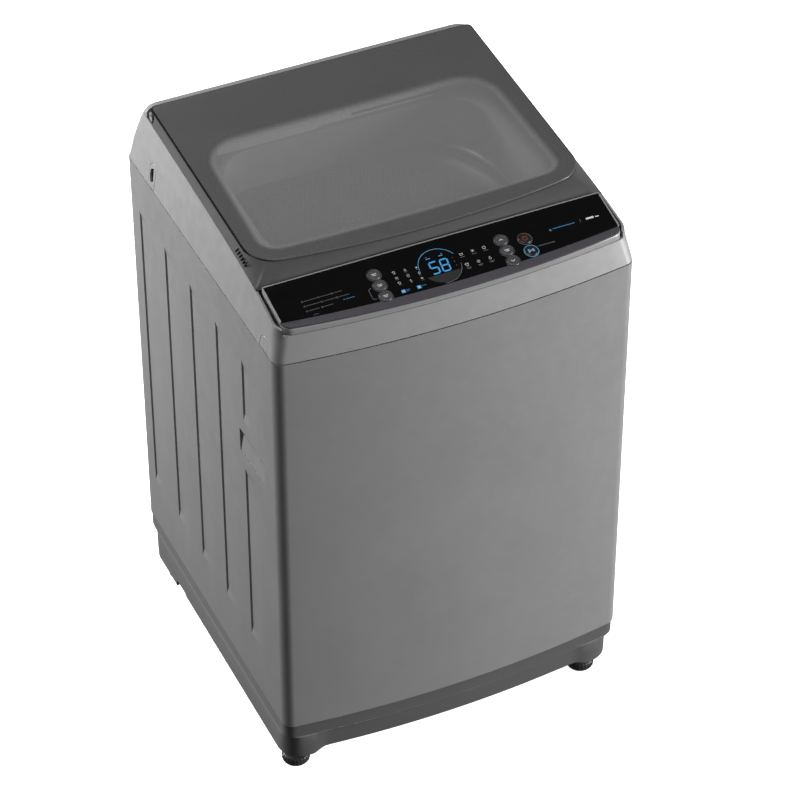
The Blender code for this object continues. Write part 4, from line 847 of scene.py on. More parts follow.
def side_caps():
    for name, side in (("side_cap_left", -1), ("side_cap_right", 1)):
        low_x, high_x = sorted((side * (HALF_WIDTH - 0.0026), side * (HALF_WIDTH - 0.0002)))
        piece = lean(prism("visual_" + name, cap_outline(0.0006), low_x, high_x, "yz"), side)
        bevel(piece, 0.0004)
        put(smooth(piece), "cabinet", "silver_plastic", replaces=[name])


def cord_gland():
    """A rounded frame round the black window that the cord would leave by; a plate of painted shade behind it
    makes the window black.
    """
    piece = prism("visual_cord_gland", gland_outline(0.0006), -0.2752, -0.2715, "yz")
    window = [(0.17, 0.82), (0.179, 0.814), (0.183, 0.825), (0.1822, 0.835), (0.173, 0.84)]
    cut(piece, prism("window", window, -0.29, -0.26, "yz"))
    lean(piece, -1)
    bevel(piece, 0.0005)
    put(smooth(piece), "cabinet", "silver_plastic", replaces=["cord_gland"])
    # A black plate behind the window: painted shade for the dark inside seen through the hole.
    dark = lean(prism("cord_gland_painted_shade", gland_outline(0.003), -0.2712, -0.27, "yz"), -1)
    put(dark, "cabinet", "black_plastic", PAINTED_SHADE_BLACK)


# ---------------------------------------------------------------- lid


def lid_loop(half_rear, half_front, rear, front, rear_radius, front_radius, bow):
    """A closed loop on the lid, always with the same number of points in each stretch."""
    corner_y = front + half_front**2 / (2 * bow)
    rear_arc = fillet((0.0, rear), (-half_rear, rear), (-half_front, corner_y), rear_radius, 12)
    inner = half_front - 1.3 * front_radius
    front_arc = fillet(
        (-half_rear, rear), (-half_front, corner_y), (-inner, front + inner**2 / (2 * bow)), front_radius, 20
    )
    back = [(rear_arc[0][0] * i / 12, rear_arc[0][1]) for i in range(12)]
    (x0, y0), (x1, y1) = rear_arc[-1], front_arc[0]
    side = [(x0 + (x1 - x0) * i / 24, y0 + (y1 - y0) * i / 24) for i in range(1, 24)]
    start = front_arc[-1][0]
    bowed = [(start * (1 - i / 24), front + (start * (1 - i / 24)) ** 2 / (2 * bow)) for i in range(1, 25)]
    left = back + rear_arc + side + front_arc + bowed
    return left + [(-x, y) for x, y in reversed(left[1:-1])]


def lid_outline(inset=0.0):
    half, rear, front = LID_HALF - 0.0005 - inset, LID_REAR_Y - inset, LID_FRONT_Y + inset
    return lid_loop(half, half, rear, front, 0.008 - inset / 2, LID_CORNER - inset, LID_BOW)


def window_loop(grow=0.0):
    rear, front = WINDOW_BACK_Y + grow, WINDOW_FRONT_Y - grow
    return lid_loop(WINDOW_REAR + grow, WINDOW_FRONT + grow, rear, front, 0.058 + grow, 0.03 + grow, WINDOW_BOW)


def mixed(first, second, share):
    return [(a[0] + (b[0] - a[0]) * share, a[1] + (b[1] - a[1]) * share) for a, b in zip(first, second)]


def lid_glass():
    """The lid's top sheet: a dark border and a pressed window, with a rounded edge."""
    edge, rim = lid_outline(), window_loop(0.01)
    rings = [(edge, -0.0008, 0.0), (lid_outline(0.0003), -0.0003, 0.0), (lid_outline(0.0009), 0.0, 0.0)]
    flat = lid_outline(0.0009)
    rings += [(mixed(flat, rim, t), 0.0, 0.0) for t in (0.12, 0.3, 0.5, 0.7, 0.88)]
    for i in range(15):
        t = i / 14
        grow = 0.01 - 0.022 * t
        ridge = 0.0006 * max(0.0, 1 - abs(t - 0.22) / 0.22)
        drop = ridge - PRESS_DEPTH * smooth_step((t - 0.15) / 0.85)
        rings.append((window_loop(grow), drop, smooth_step((t - 0.3) / 0.7)))
    inner = window_loop(-0.012)
    centre_y = (WINDOW_BACK_Y + WINDOW_FRONT_Y) / 2
    for t in (0.12, 0.28, 0.46, 0.64, 0.82, 0.95):
        shrunk = [(x * (1 - t), centre_y + (y - centre_y) * (1 - t)) for x, y in inner]
        rings.append((shrunk, -PRESS_DEPTH, 1.0))
    body = bmesh.new()
    shares = []

    def add_ring(outline, drop, share):
        shares.extend([share] * len(outline))
        return [body.verts.new((x, y, lid_z(y) + drop)) for x, y in outline]

    top = [add_ring(*entry) for entry in rings]
    lower = [(edge, -GLASS + 0.0006, 0.0)] + [(o, d - GLASS, s) for o, d, s in rings[2:]]
    under = [add_ring(*entry) for entry in lower]
    bridge_all(body, top, closed=False)
    for first, second in [(b, a) for a, b in zip(under, under[1:])] + [(under[0], top[0])]:
        bridge(body, first, second)
    body.faces.new(top[-1])
    body.faces.new(list(reversed(under[-1])))
    piece = piece_from("lid_glass_sheet", body)
    blend = piece.data.attributes.new("window", "FLOAT", "POINT")
    blend.data.foreach_set("value", shares)
    smooth(piece, 40)
    put(piece, "lid", "smoked_glass", lid_glass_material(), ["lid_glass"])


def lid_glass_material():
    """Smoked glass: the border is printed dark and the window is clearer; the window's lighter colour is painted
    light for the lit inside seen through it, and colour and clearness blending together across its edge paint a
    lighter rim round it, a painted highlight.
    """
    made = Nodes("lid_smoked_glass")
    share = made.add("ShaderNodeAttribute", attribute_name="window").outputs["Fac"]
    cloud = made.span(made.noise(14.0, 3.0), 0.0, 1.0)
    border = made.tint(cloud, shade(LID_BORDER, 0.97), shade(LID_BORDER, 1.03))
    # Colour and clearness change together across the window's edge, which paints a lighter rim round the window:
    # a painted highlight.
    mix = made.add("ShaderNodeMix", data_type="RGBA")
    lead = made.add("ShaderNodeMapRange")
    lead.inputs["From Max"].default_value = 1.0
    made.link(share, lead.inputs["Value"])
    made.link(lead.outputs["Result"], mix.inputs["Factor"])
    made.link(border, mix.inputs[6])
    mix.inputs[7].default_value = (*LID_WINDOW_PAINTED_LIGHT, 1.0)
    made.link(mix.outputs[2], made.shader.inputs["Base Color"])
    made.link(made.span(made.noise(40.0, 4.0), 0.22, 0.3), made.shader.inputs["Roughness"])
    clear = made.add("ShaderNodeMapRange")
    clear.inputs["To Min"].default_value = 0.98
    clear.inputs["To Max"].default_value = LID_ALPHA
    made.link(share, clear.inputs["Value"])
    made.link(clear.outputs["Result"], made.shader.inputs["Alpha"])
    made.set(Specular_IOR_Level=0.4)
    made.bump(made.noise(500.0, 2.0), 0.004)
    return made.material


def lid_skirt_rows():
    """Top and bottom points of the skirt's left half, from the rear middle to the front middle."""
    top = lid_outline()
    half_count = len(top) // 2
    side_end, nose_end = 48, 68
    bottom = []
    for i, (x, y) in enumerate(top[: half_count + 1]):
        if i < 12:
            bottom.append((x * 1.02, LID_REAR_Y, False))
        elif i < 25:
            bottom.append((-0.2524, min(y, LID_REAR_Y) if i < 24 else 0.2025, False))
        elif i < side_end:
            bottom.append((None, 0.2 if i == 25 else y, False))
        elif i < nose_end - 6:
            share = (i - side_end + 1) / (nose_end - 6 - side_end)
            start = top[side_end - 1][1]
            bottom.append((None, start + (-0.185 - start) * share, False))
        elif i <= nose_end:
            share = (i - nose_end + 6) / 6
            round_off = 0.0018 * (1 - min(1.0, share * 3)) ** 2
            nose = LID_NOSE_Y + round_off + 0.0028 * smooth_step((share - 0.6) / 0.3)
            bottom.append((-0.2628 + 0.0208 * share, nose, True))
        else:
            bottom.append((-0.242 * x / top[nose_end][0], -0.184, True))
    return top, bottom


def lid_skirt():
    """The lid's moulded rim: sides down to the cheeks, a recessed lip between two forward rails."""
    top, bottom = lid_skirt_rows()
    shares = (0.0, 0.04, 0.12, 0.22, 0.36, 0.52, 0.68, 0.84, 0.96, 1.0)
    rows = [[] for share in shares]
    for i, (x, y) in enumerate(top):
        mirrored = i >= len(bottom)
        bx, by, front = bottom[len(top) - i] if mirrored else bottom[i]
        low = cheek_z(by) + 0.0006
        if bx is None:
            bx = -(side_x(low) - 0.0003)
        if front:
            low = 0.8722 + (LIP_BOTTOM - 0.8722) * smooth_step((0.25 - abs(bx)) / 0.008)
        bx = -bx if mirrored else bx
        start = Vector((x, y, lid_z(y) - GLASS - 0.0003))
        end = Vector((bx, by, low))
        out = Vector((x * 0.7 if abs(x) > 0.2 else 0.0, -0.02 if y < 0 else 0.02, 0.0)).normalized()
        if abs(x) > 0.2515:
            out = Vector((-1.0 if x < 0 else 1.0, 0.0, 0.0))
        for row, share in zip(rows, shares):
            point = start.lerp(end, share)
            if front:
                point.y -= 0.0022 * sin(pi * share)
                point.z += 0.001 * sin(pi * share)
            if y < 0.19:
                point += out * (0.0012 * max(0.0, 1 - abs(share - 0.08) / 0.08))
            row.append(point)
    body = bmesh.new()
    inner_rows = []
    for row in rows:
        inner = []
        for i, point in enumerate(row):
            before, after = row[i - 1], row[(i + 1) % len(row)]
            along = Vector((after.x - before.x, after.y - before.y, 0.0)).normalized()
            inward = Vector((-along.y, along.x, 0.0))
            inner.append(point + inward * 0.0024)
        inner_rows.append(inner)
    made = [[body.verts.new(point) for point in row] for row in rows + inner_rows[::-1]]
    for upper, lower in zip(made, made[1:] + made[:1]):
        for i in range(len(upper)):
            j = (i + 1) % len(upper)
            body.faces.new((upper[j], upper[i], lower[i], lower[j]))
    piece = piece_from("lid_skirt", body)
    smooth(piece, 35)
    put(piece, "lid", "dark_plastic", LID_PLASTIC, ["lid_frame"])


def lid_gap_painted_shade():
    """The thin black line between the glass and the skirt: a black ring of painted shade for the shadowed gap
    there.
    """
    body = bmesh.new()
    outer, inner, hidden = lid_outline(-0.0009), lid_outline(0.0007), lid_outline(0.0012)
    rings = [(outer, hidden, -0.0009), (inner, hidden, 0.0001)]
    rings += [(inner, hidden, -0.0033), (outer, hidden, -0.0036)]
    made = []
    for index, (outline, under, drop) in enumerate(rings):
        row = []
        for (x, y), (u, v) in zip(outline, under):
            side = smooth_step((y + 0.15) / 0.03)
            low = -0.001 - 0.0006 * index
            height = lid_z(y) + low + (drop - low) * side
            row.append(body.verts.new((u + (x - u) * side, v + (y - v) * side, height)))
        made.append(row)
    bridge_all(body, made)
    put(smooth(piece_from("lid_gap_painted_shade", body), 30), "lid", "black_plastic", PAINTED_SHADE_BLACK)


def lid_vents():
    """Six short black slots near the front of the lid's left side: black pieces laid on the skirt as painted
    shade for the vents' dark insides.
    """
    body = bmesh.new()
    for i in range(6):
        y, z = -0.1075 - 0.0063 * i, 0.8852 - 0.00062 * i
        share = (z - cheek_z(y)) / (lid_z(y) - cheek_z(y))
        x = -(side_x(cheek_z(y)) + (LID_HALF - side_x(cheek_z(y))) * share) - 0.0001
        lean_in = (side_x(cheek_z(y)) - LID_HALF) / (lid_z(y) - cheek_z(y))
        c, s = cos(VENT_TURN), sin(VENT_TURN)
        outline = [(y + u * c - v * s, z + u * s + v * c) for u, v in slot_outline(0.0009, 0.003)]
        rings = []
        for push in (-0.0002, 0.0012):
            rings.append([body.verts.new((x + lean_in * (w - z) + push, v, w)) for v, w in outline])
        bridge(body, *rings)
        for ring in rings:
            body.faces.new(ring)
    put(piece_from("lid_vents", body), "lid", "black_plastic", PAINTED_SHADE_BLACK)


def slot_outline(half, reach):
    """A narrow slot with round ends, as (across, along) points."""
    top = circle(half, (0.0, reach - half), 6, 0.0, pi)
    return top + [(-u, -v) for u, v in top]


def lid_inner():
    """The flat ring under the glass, round the window, with a flange that stiffens it."""
    body = bmesh.new()
    outer, inner = lid_outline(0.003), window_loop(0.012)
    flange = window_loop(0.015)
    rings = [(outer, -0.0033), (outer, -0.006), (flange, -0.006)]
    rings += [(flange, -0.0085), (inner, -0.0085), (inner, -0.0033)]
    made = [[body.verts.new((x, y, lid_z(y) + drop)) for x, y in outline] for outline, drop in rings]
    bridge_all(body, made)
    piece = smooth(piece_from("lid_inner_ring", body), 30)
    put(piece, "lid", "dark_plastic", LID_PLASTIC)


# ---------------------------------------------------------------- console


def console_ring(z, half, front_y, radius, inset=0.0):
    rear = CONSOLE_REAR_Y + 0.002 - inset
    return level(plan_outline(half - inset, front_y + inset, rear, radius - inset / 2, 0.003), z)


def slope_cutter(name, drop):
    edge = console_z(CONSOLE_FRONT_Y) - drop
    above = [(-0.31, edge + STRIP_SLOPE * (-0.31 - CONSOLE_FRONT_Y)), (CONSOLE_FRONT_Y, edge)]
    above += [(0.0, console_z(0.0) - drop), (0.0, 1.1), (-0.31, 1.1)]
    return prism(name, above, -0.3, 0.3, "yz")


def glass_front(x):
    return CONSOLE_FRONT_Y + x * x / (2 * GLASS_BOW)


def glass_outline(shrink=0.0):
    half = CONSOLE_HALF - shrink
    xs = [-half + half * i / 20 for i in range(41)]
    front = [(x, glass_front(x) + shrink) for x in xs]
    return front + [(half, CONSOLE_REAR_Y - shrink), (-half, CONSOLE_REAR_Y - shrink)]


def trim_outline(grow, reach=0.0):
    """The strip in front of the glass, with rounded, tapered ends; reach widens its pocket past the bezel."""
    front_y = BEZEL_FRONT_Y + 0.001 - grow - reach
    corner = front_corner(TRIM_HALF + grow + reach, front_y, 0.015 + reach, 14)
    left = [(x, y) for x, y in corner if y < glass_front(x) - 0.0012]
    start = left[-1][0]
    bow = [(x, bow_y(x, front_y)) for x in [start - 2 * start * i / 40 for i in range(1, 40)]]
    half = -left[0][0]
    rear = [(-half + half * i / 20, glass_front(half * (i / 20 - 1)) - 0.0006 + grow) for i in range(41)]
    return left + bow + [(-x, y) for x, y in reversed(left)] + rear[::-1]


def tilt(piece):
    for vertex in piece.data.vertices:
        vertex.co.z += console_z(vertex.co.y)
    return piece


def lay_strip(piece):
    for vertex in piece.data.vertices:
        vertex.co.z += console_z(CONSOLE_FRONT_Y) + STRIP_SLOPE * (vertex.co.y - CONSOLE_FRONT_Y)
    return piece


def on_console(piece, x, y):
    """Stands a piece, modelled about the origin, on the console's plane."""
    turn = Matrix.Rotation(atan2(CONSOLE_SLOPE, 1.0), 4, "X")
    piece.data.transform(Matrix.Translation((x, y, console_z(y))) @ turn)
    return piece


def button_holes(piece, radius=BUTTON_RADIUS + 0.0004):
    for x, y in BUTTONS.values():
        cut(piece, on_console(rod("hole", radius, -0.02, 0.01, 40), x, y))
    return piece


def console():
    front = BEZEL_FRONT_Y
    rings = [(CONSOLE_SEAM_Z + 0.0003, 0.2563, front + 0.0006, 0.0157)]
    rings += [(CONSOLE_SEAM_Z + 0.0011, 0.2569, front, 0.016)]
    rings += [(0.85, 0.2569, front, 0.016), (0.8552, 0.2569, front + 0.0002, 0.016)]
    rings += [(0.8562, 0.2568, front + 0.0005, 0.0158), (0.8568, 0.2567, front + 0.001, 0.0156)]
    rings += [(0.88, 0.2563, front + 0.002, 0.015)]
    piece = loft("console_bezel_shell", [console_ring(*ring) for ring in rings])
    cut(piece, slope_cutter("console_top", 0.0))
    cut(piece, tilt(prism("glass_pocket", glass_outline(-0.0005), -0.0033, 0.02)))
    cut(piece, lay_strip(prism("trim_pocket", trim_outline(0.0012, 0.004), -0.0025, 0.02)))
    inside = loft("console_inside", [console_ring(z, 0.2564, BEZEL_FRONT_Y, 0.014, 0.003) for z in (0.8, 0.88)])
    cut(inside, slope_cutter("inside_top", 0.0065))
    cut(piece, inside)
    button_holes(piece)
    smooth(piece, 32)
    put(piece, "cabinet", "silver_plastic", replaces=["console_bezel"])
    strip = lay_strip(prism("console_trim_strip", trim_outline(0.0), -0.0022, 0.0))
    button_holes(strip)
    bevel(strip, 0.0005, 2, 50)
    put(smooth(strip, 40), "cabinet", "dark_plastic", STRIP, ["console_trim"])
    glass = tilt(prism("console_glass_sheet", glass_outline(), -0.003, 0.0))
    button_holes(glass)
    bevel(glass, 0.0003, 2, 50)
    put(smooth(glass, 40), "cabinet", "black_glass", replaces=["console_glass"])


# ---------------------------------------------------------------- tub and basket


def basket_wall():
    """The steel wall: vertical waves and staggered round holes."""
    columns, rows, low, high = 72, 18, BASKET_BOTTOM + 0.014, BASKET_TOP - 0.001
    body = bmesh.new()

    def place(u, v):
        angle = 2 * pi * u / columns
        z = low + (high - low) * v / rows
        fade = smooth_step((z - low) / 0.04) * smooth_step((high - z) / 0.04)
        r = BASKET_RADIUS - 0.0004 - 0.0035 * fade * (0.5 + 0.5 * cos(angle * 12)) ** 3
        return body.verts.new((r * cos(angle), r * sin(angle), z))

    corners = [[place(u, v) for u in range(columns)] for v in range(rows + 1)]
    across = [[place(u + 0.5, v) for u in range(columns)] for v in range(rows + 1)]
    upright = [[place(u, v + 0.5) for u in range(columns)] for v in range(rows)]
    wide, tall = 0.0024 / (2 * pi * BASKET_RADIUS / columns), 0.0024 / ((high - low) / rows)
    for v in range(rows):
        for u in range(columns):
            n = (u + 1) % columns
            rim = [corners[v][u], across[v][u], corners[v][n], upright[v][n]]
            rim += [corners[v + 1][n], across[v + 1][u], corners[v + 1][u], upright[v][u]]
            if (u + v) % 2 and 0 < v < rows - 1:
                angles = [pi * 1.25 + pi / 4 * k for k in range(8)]
                hole = [place(u + 0.5 + wide * cos(a), v + 0.5 + tall * sin(a)) for a in angles]
                for k in range(8):
                    j = (k + 1) % 8
                    body.faces.new((rim[k], rim[j], hole[j], hole[k]))
            else:
                body.faces.new(rim)
    piece = sheet(piece_from("basket_wall", body), 0.0008)
    smooth(piece, 50)
    put(piece, "basket", "stainless", replaces=["basket"])


def basket_floor():
    low, outer = BASKET_BOTTOM, BASKET_RADIUS - 0.0004
    under = [(0.0, 0.0145), (0.0008, 0.0095), (0.0035, 0.004), (0.0085, 0.0008)]
    upper = [(0.0088, 0.0016), (0.0042, 0.0045), (0.0016, 0.0098), (0.0008, 0.0145)]
    profile = [(outer - u, low + h) for u, h in under] + [(outer - 0.014, low), (0.014, low)]
    profile += [(0.014, low + 0.0008), (outer - 0.014, low + 0.0008)] + [(outer - u, low + h) for u, h in upper]
    put(smooth(turned("basket_floor", profile, 96), 40), "basket", "stainless")


def rings_and_covers():
    low, top = BASKET_TOP + 0.0003, BASKET_TOP + 0.038
    profile = [(0.208, top - 0.01), (0.2088, top - 0.005), (0.211, top - 0.0015), (0.215, top)]
    profile += [(0.231, top), (0.235, top - 0.0015), (0.2372, top - 0.005), (0.238, top - 0.01)]
    profile += [(0.238, low), (0.215, low)]
    profile += [(0.21, low + 0.003), (0.2082, low + 0.007)]
    ring = smooth(turned("balance_ring_shell", profile, 120), 35)
    put(ring, "basket", "grey_plastic", replaces=["balance_ring"])
    low, top = TUB_TOP + 0.0003, TUB_TOP + 0.026
    profile = [(0.212, top), (0.219, top), (0.223, top - 0.001), (0.2515, low + 0.011)]
    profile += [(0.252, low + 0.009), (0.252, low), (0.243, low), (0.243, low + 0.008)]
    profile += [(0.2205, top - 0.003), (0.212, top - 0.003)]
    put(smooth(turned("tub_cover_shell", profile, 120), 35), "tub", "white_plastic", replaces=["tub_cover"])


def pulsator():
    """The wash plate: a shallow cone with six soft ribs and rings of small dimples."""
    radius, low, sectors, rings = 0.172, BASKET_BOTTOM + 0.01, 144, 28
    body = bmesh.new()
    shells = []
    for k in range(rings + 1):
        share = k / rings
        r = 0.013 + (radius - 0.013) * share
        row = []
        for i in range(sectors):
            angle = 2 * pi * i / sectors
            rib = max(0.0, cos(6 * angle + 2.0 * share)) ** 3 * sin(pi * min(1.0, share * 1.05))
            dimple = 0.0012 * max(0.0, cos(24 * angle)) ** 4 * max(0.0, sin(share * pi * 7)) ** 4 * (1 - rib)
            z = low + 0.024 - 0.016 * share + 0.022 * max(0.0, rib) - dimple
            row.append(body.verts.new((r * cos(angle), r * sin(angle), z)))
        shells.append(row)
    shells.append([body.verts.new((v.co.x * 1.003, v.co.y * 1.003, low + 0.006)) for v in shells[-1]])
    shells.append([body.verts.new((v.co.x, v.co.y, low)) for v in shells[-2]])
    shells.append([body.verts.new((v.co.x, v.co.y, low)) for v in shells[0]])
    bridge_all(body, shells)
    piece = smooth(piece_from("pulsator_plate", body), 55)
    put(piece, "pulsator_drive", "grey_plastic", replaces=["pulsator"])
    low = BASKET_BOTTOM + 0.0352
    profile = [(0.0, low + 0.0062), (0.006, low + 0.006), (0.011, low + 0.0052), (0.0145, low + 0.0034)]
    profile += [(0.016, low + 0.001), (0.016, low), (0.0, low)]
    cap = smooth(turned("pulsator_cap", profile, 48), 40)
    put(cap, "pulsator_drive", "grey_plastic", replaces=["pulsator_bolt"])


# ---------------------------------------------------------------- print on the console


def stroke(points, width, closed=False):
    """A drawn line as a row of flat quads with square ends."""
    quads = []
    last = len(points) if closed else len(points) - 1
    for i in range(last):
        a, b = Vector(points[i]), Vector(points[(i + 1) % len(points)])
        along = (b - a).normalized() * (width * 0.3)
        across = Vector((-along.y, along.x)).normalized() * (width / 2)
        start, stop = a - along, b + along
        quads.append([tuple(p) for p in (start - across, stop - across, stop + across, start + across)])
    return quads


def bar(x, y, wide, high):
    corners = ((-wide / 2, -high / 2), (wide / 2, -high / 2), (wide / 2, high / 2), (-wide / 2, high / 2))
    return [[(x + u, y + v) for u, v in corners]]


def disc(x, y, radius, steps=20):
    return [circle(radius, (x, y), steps)]


def moved(shapes, x, y, scale=1.0):
    return [[(x + u * scale, y + v * scale) for u, v in shape] for shape in shapes]


def print_on(name, shapes, material, body="cabinet", base=0.0, rise=0.00012, at=None):
    """Lays flat shapes on the console's glass, or on the cap of a button at a place, as one thin piece."""
    mesh = bmesh.new()
    for index, shape in enumerate(shapes):
        lift = rise + 0.000004 * (index % 5)
        rings = [[mesh.verts.new((u, v, w)) for u, v in shape] for w in (base - 0.00005, base + lift)]
        bridge(mesh, *rings)
        for ring in rings:
            mesh.faces.new(ring)
    piece = piece_from(name, mesh)
    if at:
        on_console(piece, *at)
    else:
        tilt(piece)
    return put(piece, body, "white_plastic", material)


def garment(kind):
    """Small generic programme symbols about 6 mm wide, drawn with lines."""
    w = 0.00042
    if kind == 0:
        shirt = [(-0.0026, 0.001), (-0.0012, 0.0022), (0.0012, 0.0022), (0.0026, 0.001), (0.0014, 0.0006)]
        return stroke(shirt + [(0.0014, -0.0022), (-0.0014, -0.0022), (-0.0014, 0.0006)], w, True)
    if kind == 1:
        return stroke(circle(0.0019, steps=14), w, True) + bar(0.0, 0.0, 0.0012, 0.0004)
    if kind == 2:
        drop = [(0.0, 0.0024), (0.0017, -0.0004), (0.001, -0.002), (-0.001, -0.002), (-0.0017, -0.0004)]
        return stroke(drop, w, True)
    if kind == 3:
        tub = [(-0.0024, 0.0012), (-0.0018, -0.002), (0.0018, -0.002), (0.0024, 0.0012)]
        wave = [(-0.0014, 0.0004), (-0.0005, 0.001), (0.0005, 0.0002), (0.0014, 0.0008)]
        return stroke(tub, w) + stroke(wave, w)
    if kind == 4:
        arms = [(0.0022 * cos(pi * i / 3), 0.0022 * sin(pi * i / 3)) for i in range(6)]
        return [quad for a in arms[:3] for quad in stroke([a, (-a[0], -a[1])], w)]
    house = [(-0.002, -0.0018), (0.002, -0.0018), (0.002, 0.001)]
    return stroke(house + [(0.0008, 0.002), (-0.0008, 0.002), (-0.002, 0.001)], w, True)


def ring_shape(radius, width, start=0.0, stop=2 * pi, steps=48):
    closed = stop - start > 6.28
    return stroke(circle(radius, steps=steps, start=start, stop=stop), width, closed)


def seven_segments(digit, high, slant=0.1):
    """One lit digit, drawn with slanted bars."""
    lit = {"5": "afgcd", "8": "abcdefg"}[digit]
    half, w = high * 0.27, high * 0.11
    gap = w * 0.62
    ends = {
        "a": ((-half + gap, high / 2), (half - gap, high / 2)),
        "g": ((-half + gap, 0.0), (half - gap, 0.0)),
        "d": ((-half + gap, -high / 2), (half - gap, -high / 2)),
        "f": ((-half, high / 2 - gap), (-half, gap)),
        "b": ((half, high / 2 - gap), (half, gap)),
        "e": ((-half, -gap), (-half, -high / 2 + gap)),
        "c": ((half, -gap), (half, -high / 2 + gap)),
    }
    quads = []
    for name in lit:
        quads += stroke([(x + slant * y, y) for x, y in ends[name]], w)
    return quads


def display():
    """The round display: a blue arc, two lit digits, marks round them and a grey foot."""
    x, y = DISPLAY
    arc = moved(ring_shape(0.03, 0.0007, radians(28), radians(176)), x, y)
    print_on("display_arc", arc, INK_CYAN)
    blue = moved(seven_segments("5", 0.02), x - 0.0085, y - 0.0005)
    blue += moved(seven_segments("8", 0.02), x + 0.0075, y - 0.0005)
    blue += bar(x - 0.0105, y + 0.0165, 0.0062, 0.0011) + bar(x + 0.0085, y + 0.0165, 0.0062, 0.0011)
    blue += bar(x + 0.011, y + 0.0195, 0.0018, 0.0008) + bar(x - 0.0125, y + 0.0192, 0.0018, 0.0008)
    print_on("display_lit", blue, INK_BLUE)
    grey = moved(ring_shape(0.03, 0.0007, radians(-100), radians(-8)), x, y)
    for i in range(3):
        grey += disc(x + 0.0222, y + 0.008 - 0.007 * i, 0.0006, 10)
    print_on("display_marks", grey, INK_GREY)
    chord = circle(0.0288, (x, y), 20, radians(-152), radians(-28))
    print_on("display_foot", [chord], INK_DARK)


def icons():
    """Rows of generic programme symbols with short bars for their captions."""
    white, caption = [], []
    for row in range(3):
        for column in range(3):
            x = -0.0763 + 0.0165 * column
            y = -0.224 - 0.0096 * row - 0.0012 * column
            if row == 2 and column == 2:
                x -= 0.0004
            white += moved(garment((row * 3 + column * 2) % 6), x, y, 0.82)
            caption += bar(x + 0.0001, y - 0.0034, 0.0042, 0.00045)
    for row in range(2):
        for column in range(3):
            x, y = 0.0249 + 0.0175 * column, -0.227 - 0.0197 * row
            white += moved(garment((row * 3 + column + 3) % 6), x, y + 0.002, 1.05)
            caption += bar(x + 0.0004, y - 0.0034, 0.0072, 0.0006)
            if row:
                caption += bar(x + 0.0002, y - 0.005, 0.0054, 0.0006)
    print_on("programme_icons", white, INK_WHITE)
    print_on("programme_captions", caption, INK_GREY)
    blue = []
    for x, y in ((-0.0771, -0.2582), (-0.0538, -0.2584)):
        blue += bar(x, y, 0.0056, 0.0052)
    print_on("option_squares", blue, INK_BLUE)
    pale = stroke([(-0.0783, -0.2592), (-0.0783, -0.2572), (-0.0759, -0.2572), (-0.0759, -0.2592)], 0.0005)
    pale += bar(-0.0538, -0.2584, 0.002, 0.0022)
    print_on("option_marks", pale, INK_WHITE, base=0.0002)
    marks = bar(-0.07, -0.2572, 0.0062, 0.0008) + bar(-0.0708, -0.2594, 0.0044, 0.0007)
    marks += bar(-0.0462, -0.2576, 0.007, 0.0008)
    print_on("option_captions", marks, INK_BLUE_DIM)
    rows = ((0.0, 0.02, 0), (0.024, 0.016, 0), (0.044, 0.012, 0), (0.0, 0.022, 1), (0.026, 0.018, 1))
    rows += ((0.048, 0.016, 1), (0.0, 0.016, 2), (0.022, 0.014, 2), (0.003, 0.008, 3))
    lines, dots = [], []
    for offset, wide, row in rows:
        x, y = -0.212 + offset, -0.229 - 0.0085 * row
        lines += bar(x + wide / 2, y, wide, 0.001)
        if row < 3:
            dots += moved(ring_shape(0.0012, 0.0004, steps=12), x - 0.0024, y)
    print_on("feature_bars", lines, INK_FAINT)
    print_on("feature_marks", dots, INK_GREY)
    blue_bar = bar(-0.15, -0.244, 0.013, 0.001) + disc(-0.159, -0.244, 0.001)
    print_on("feature_blue_bar", blue_bar, INK_BLUE_DIM)
    white_bars = bar(0.223, -0.2262, 0.012, 0.003) + bar(0.234, -0.2268, 0.006, 0.0014)
    print_on("corner_bar_white", white_bars, INK_WHITE)
    corner_blue = bar(0.182, -0.227, 0.034, 0.0013) + disc(0.161, -0.228, 0.0018)
    print_on("corner_bar_blue", corner_blue, INK_BLUE_DIM)
    print_on("corner_line", bar(0.208, -0.2262, 0.0006, 0.005), INK_GREY)
    print_on("label_bar", bar(0.145, -0.248, 0.026, 0.0016), INK_FAINT)


RING_PROFILE = (
    (0.0097, 0.0), (0.0107, 0.0), (0.0107, 0.00025), (0.0104, 0.0005), (0.01, 0.0005), (0.0097, 0.0003),
)


def button_marks(name):
    """What is printed on one button, in its own coordinates."""
    w = 0.0009
    if name == "button_up":
        return stroke([(-0.0026, -0.0012), (0.0, 0.0012), (0.0026, -0.0012)], w), INK_WHITE
    if name == "button_down":
        return stroke([(-0.0026, 0.0012), (0.0, -0.0012), (0.0026, 0.0012)], w), INK_WHITE
    if name == "button_power":
        ring = ring_shape(0.0034, 0.0007, radians(-240), radians(60), 24)
        return ring + bar(0.0, 0.0026, 0.0007, 0.0034), INK_RED
    if name == "button_start":
        play = stroke([(-0.004, -0.0026), (-0.004, 0.0026), (-0.0004, 0.0)], 0.0007, True)
        return play + bar(0.0016, 0.0, 0.0008, 0.0046) + bar(0.0036, 0.0, 0.0008, 0.0046), INK_PALE_BLUE
    return bar(0.0, 0.0012, 0.0072, 0.0009) + bar(0.0, -0.0012, 0.0056, 0.0009), INK_WHITE


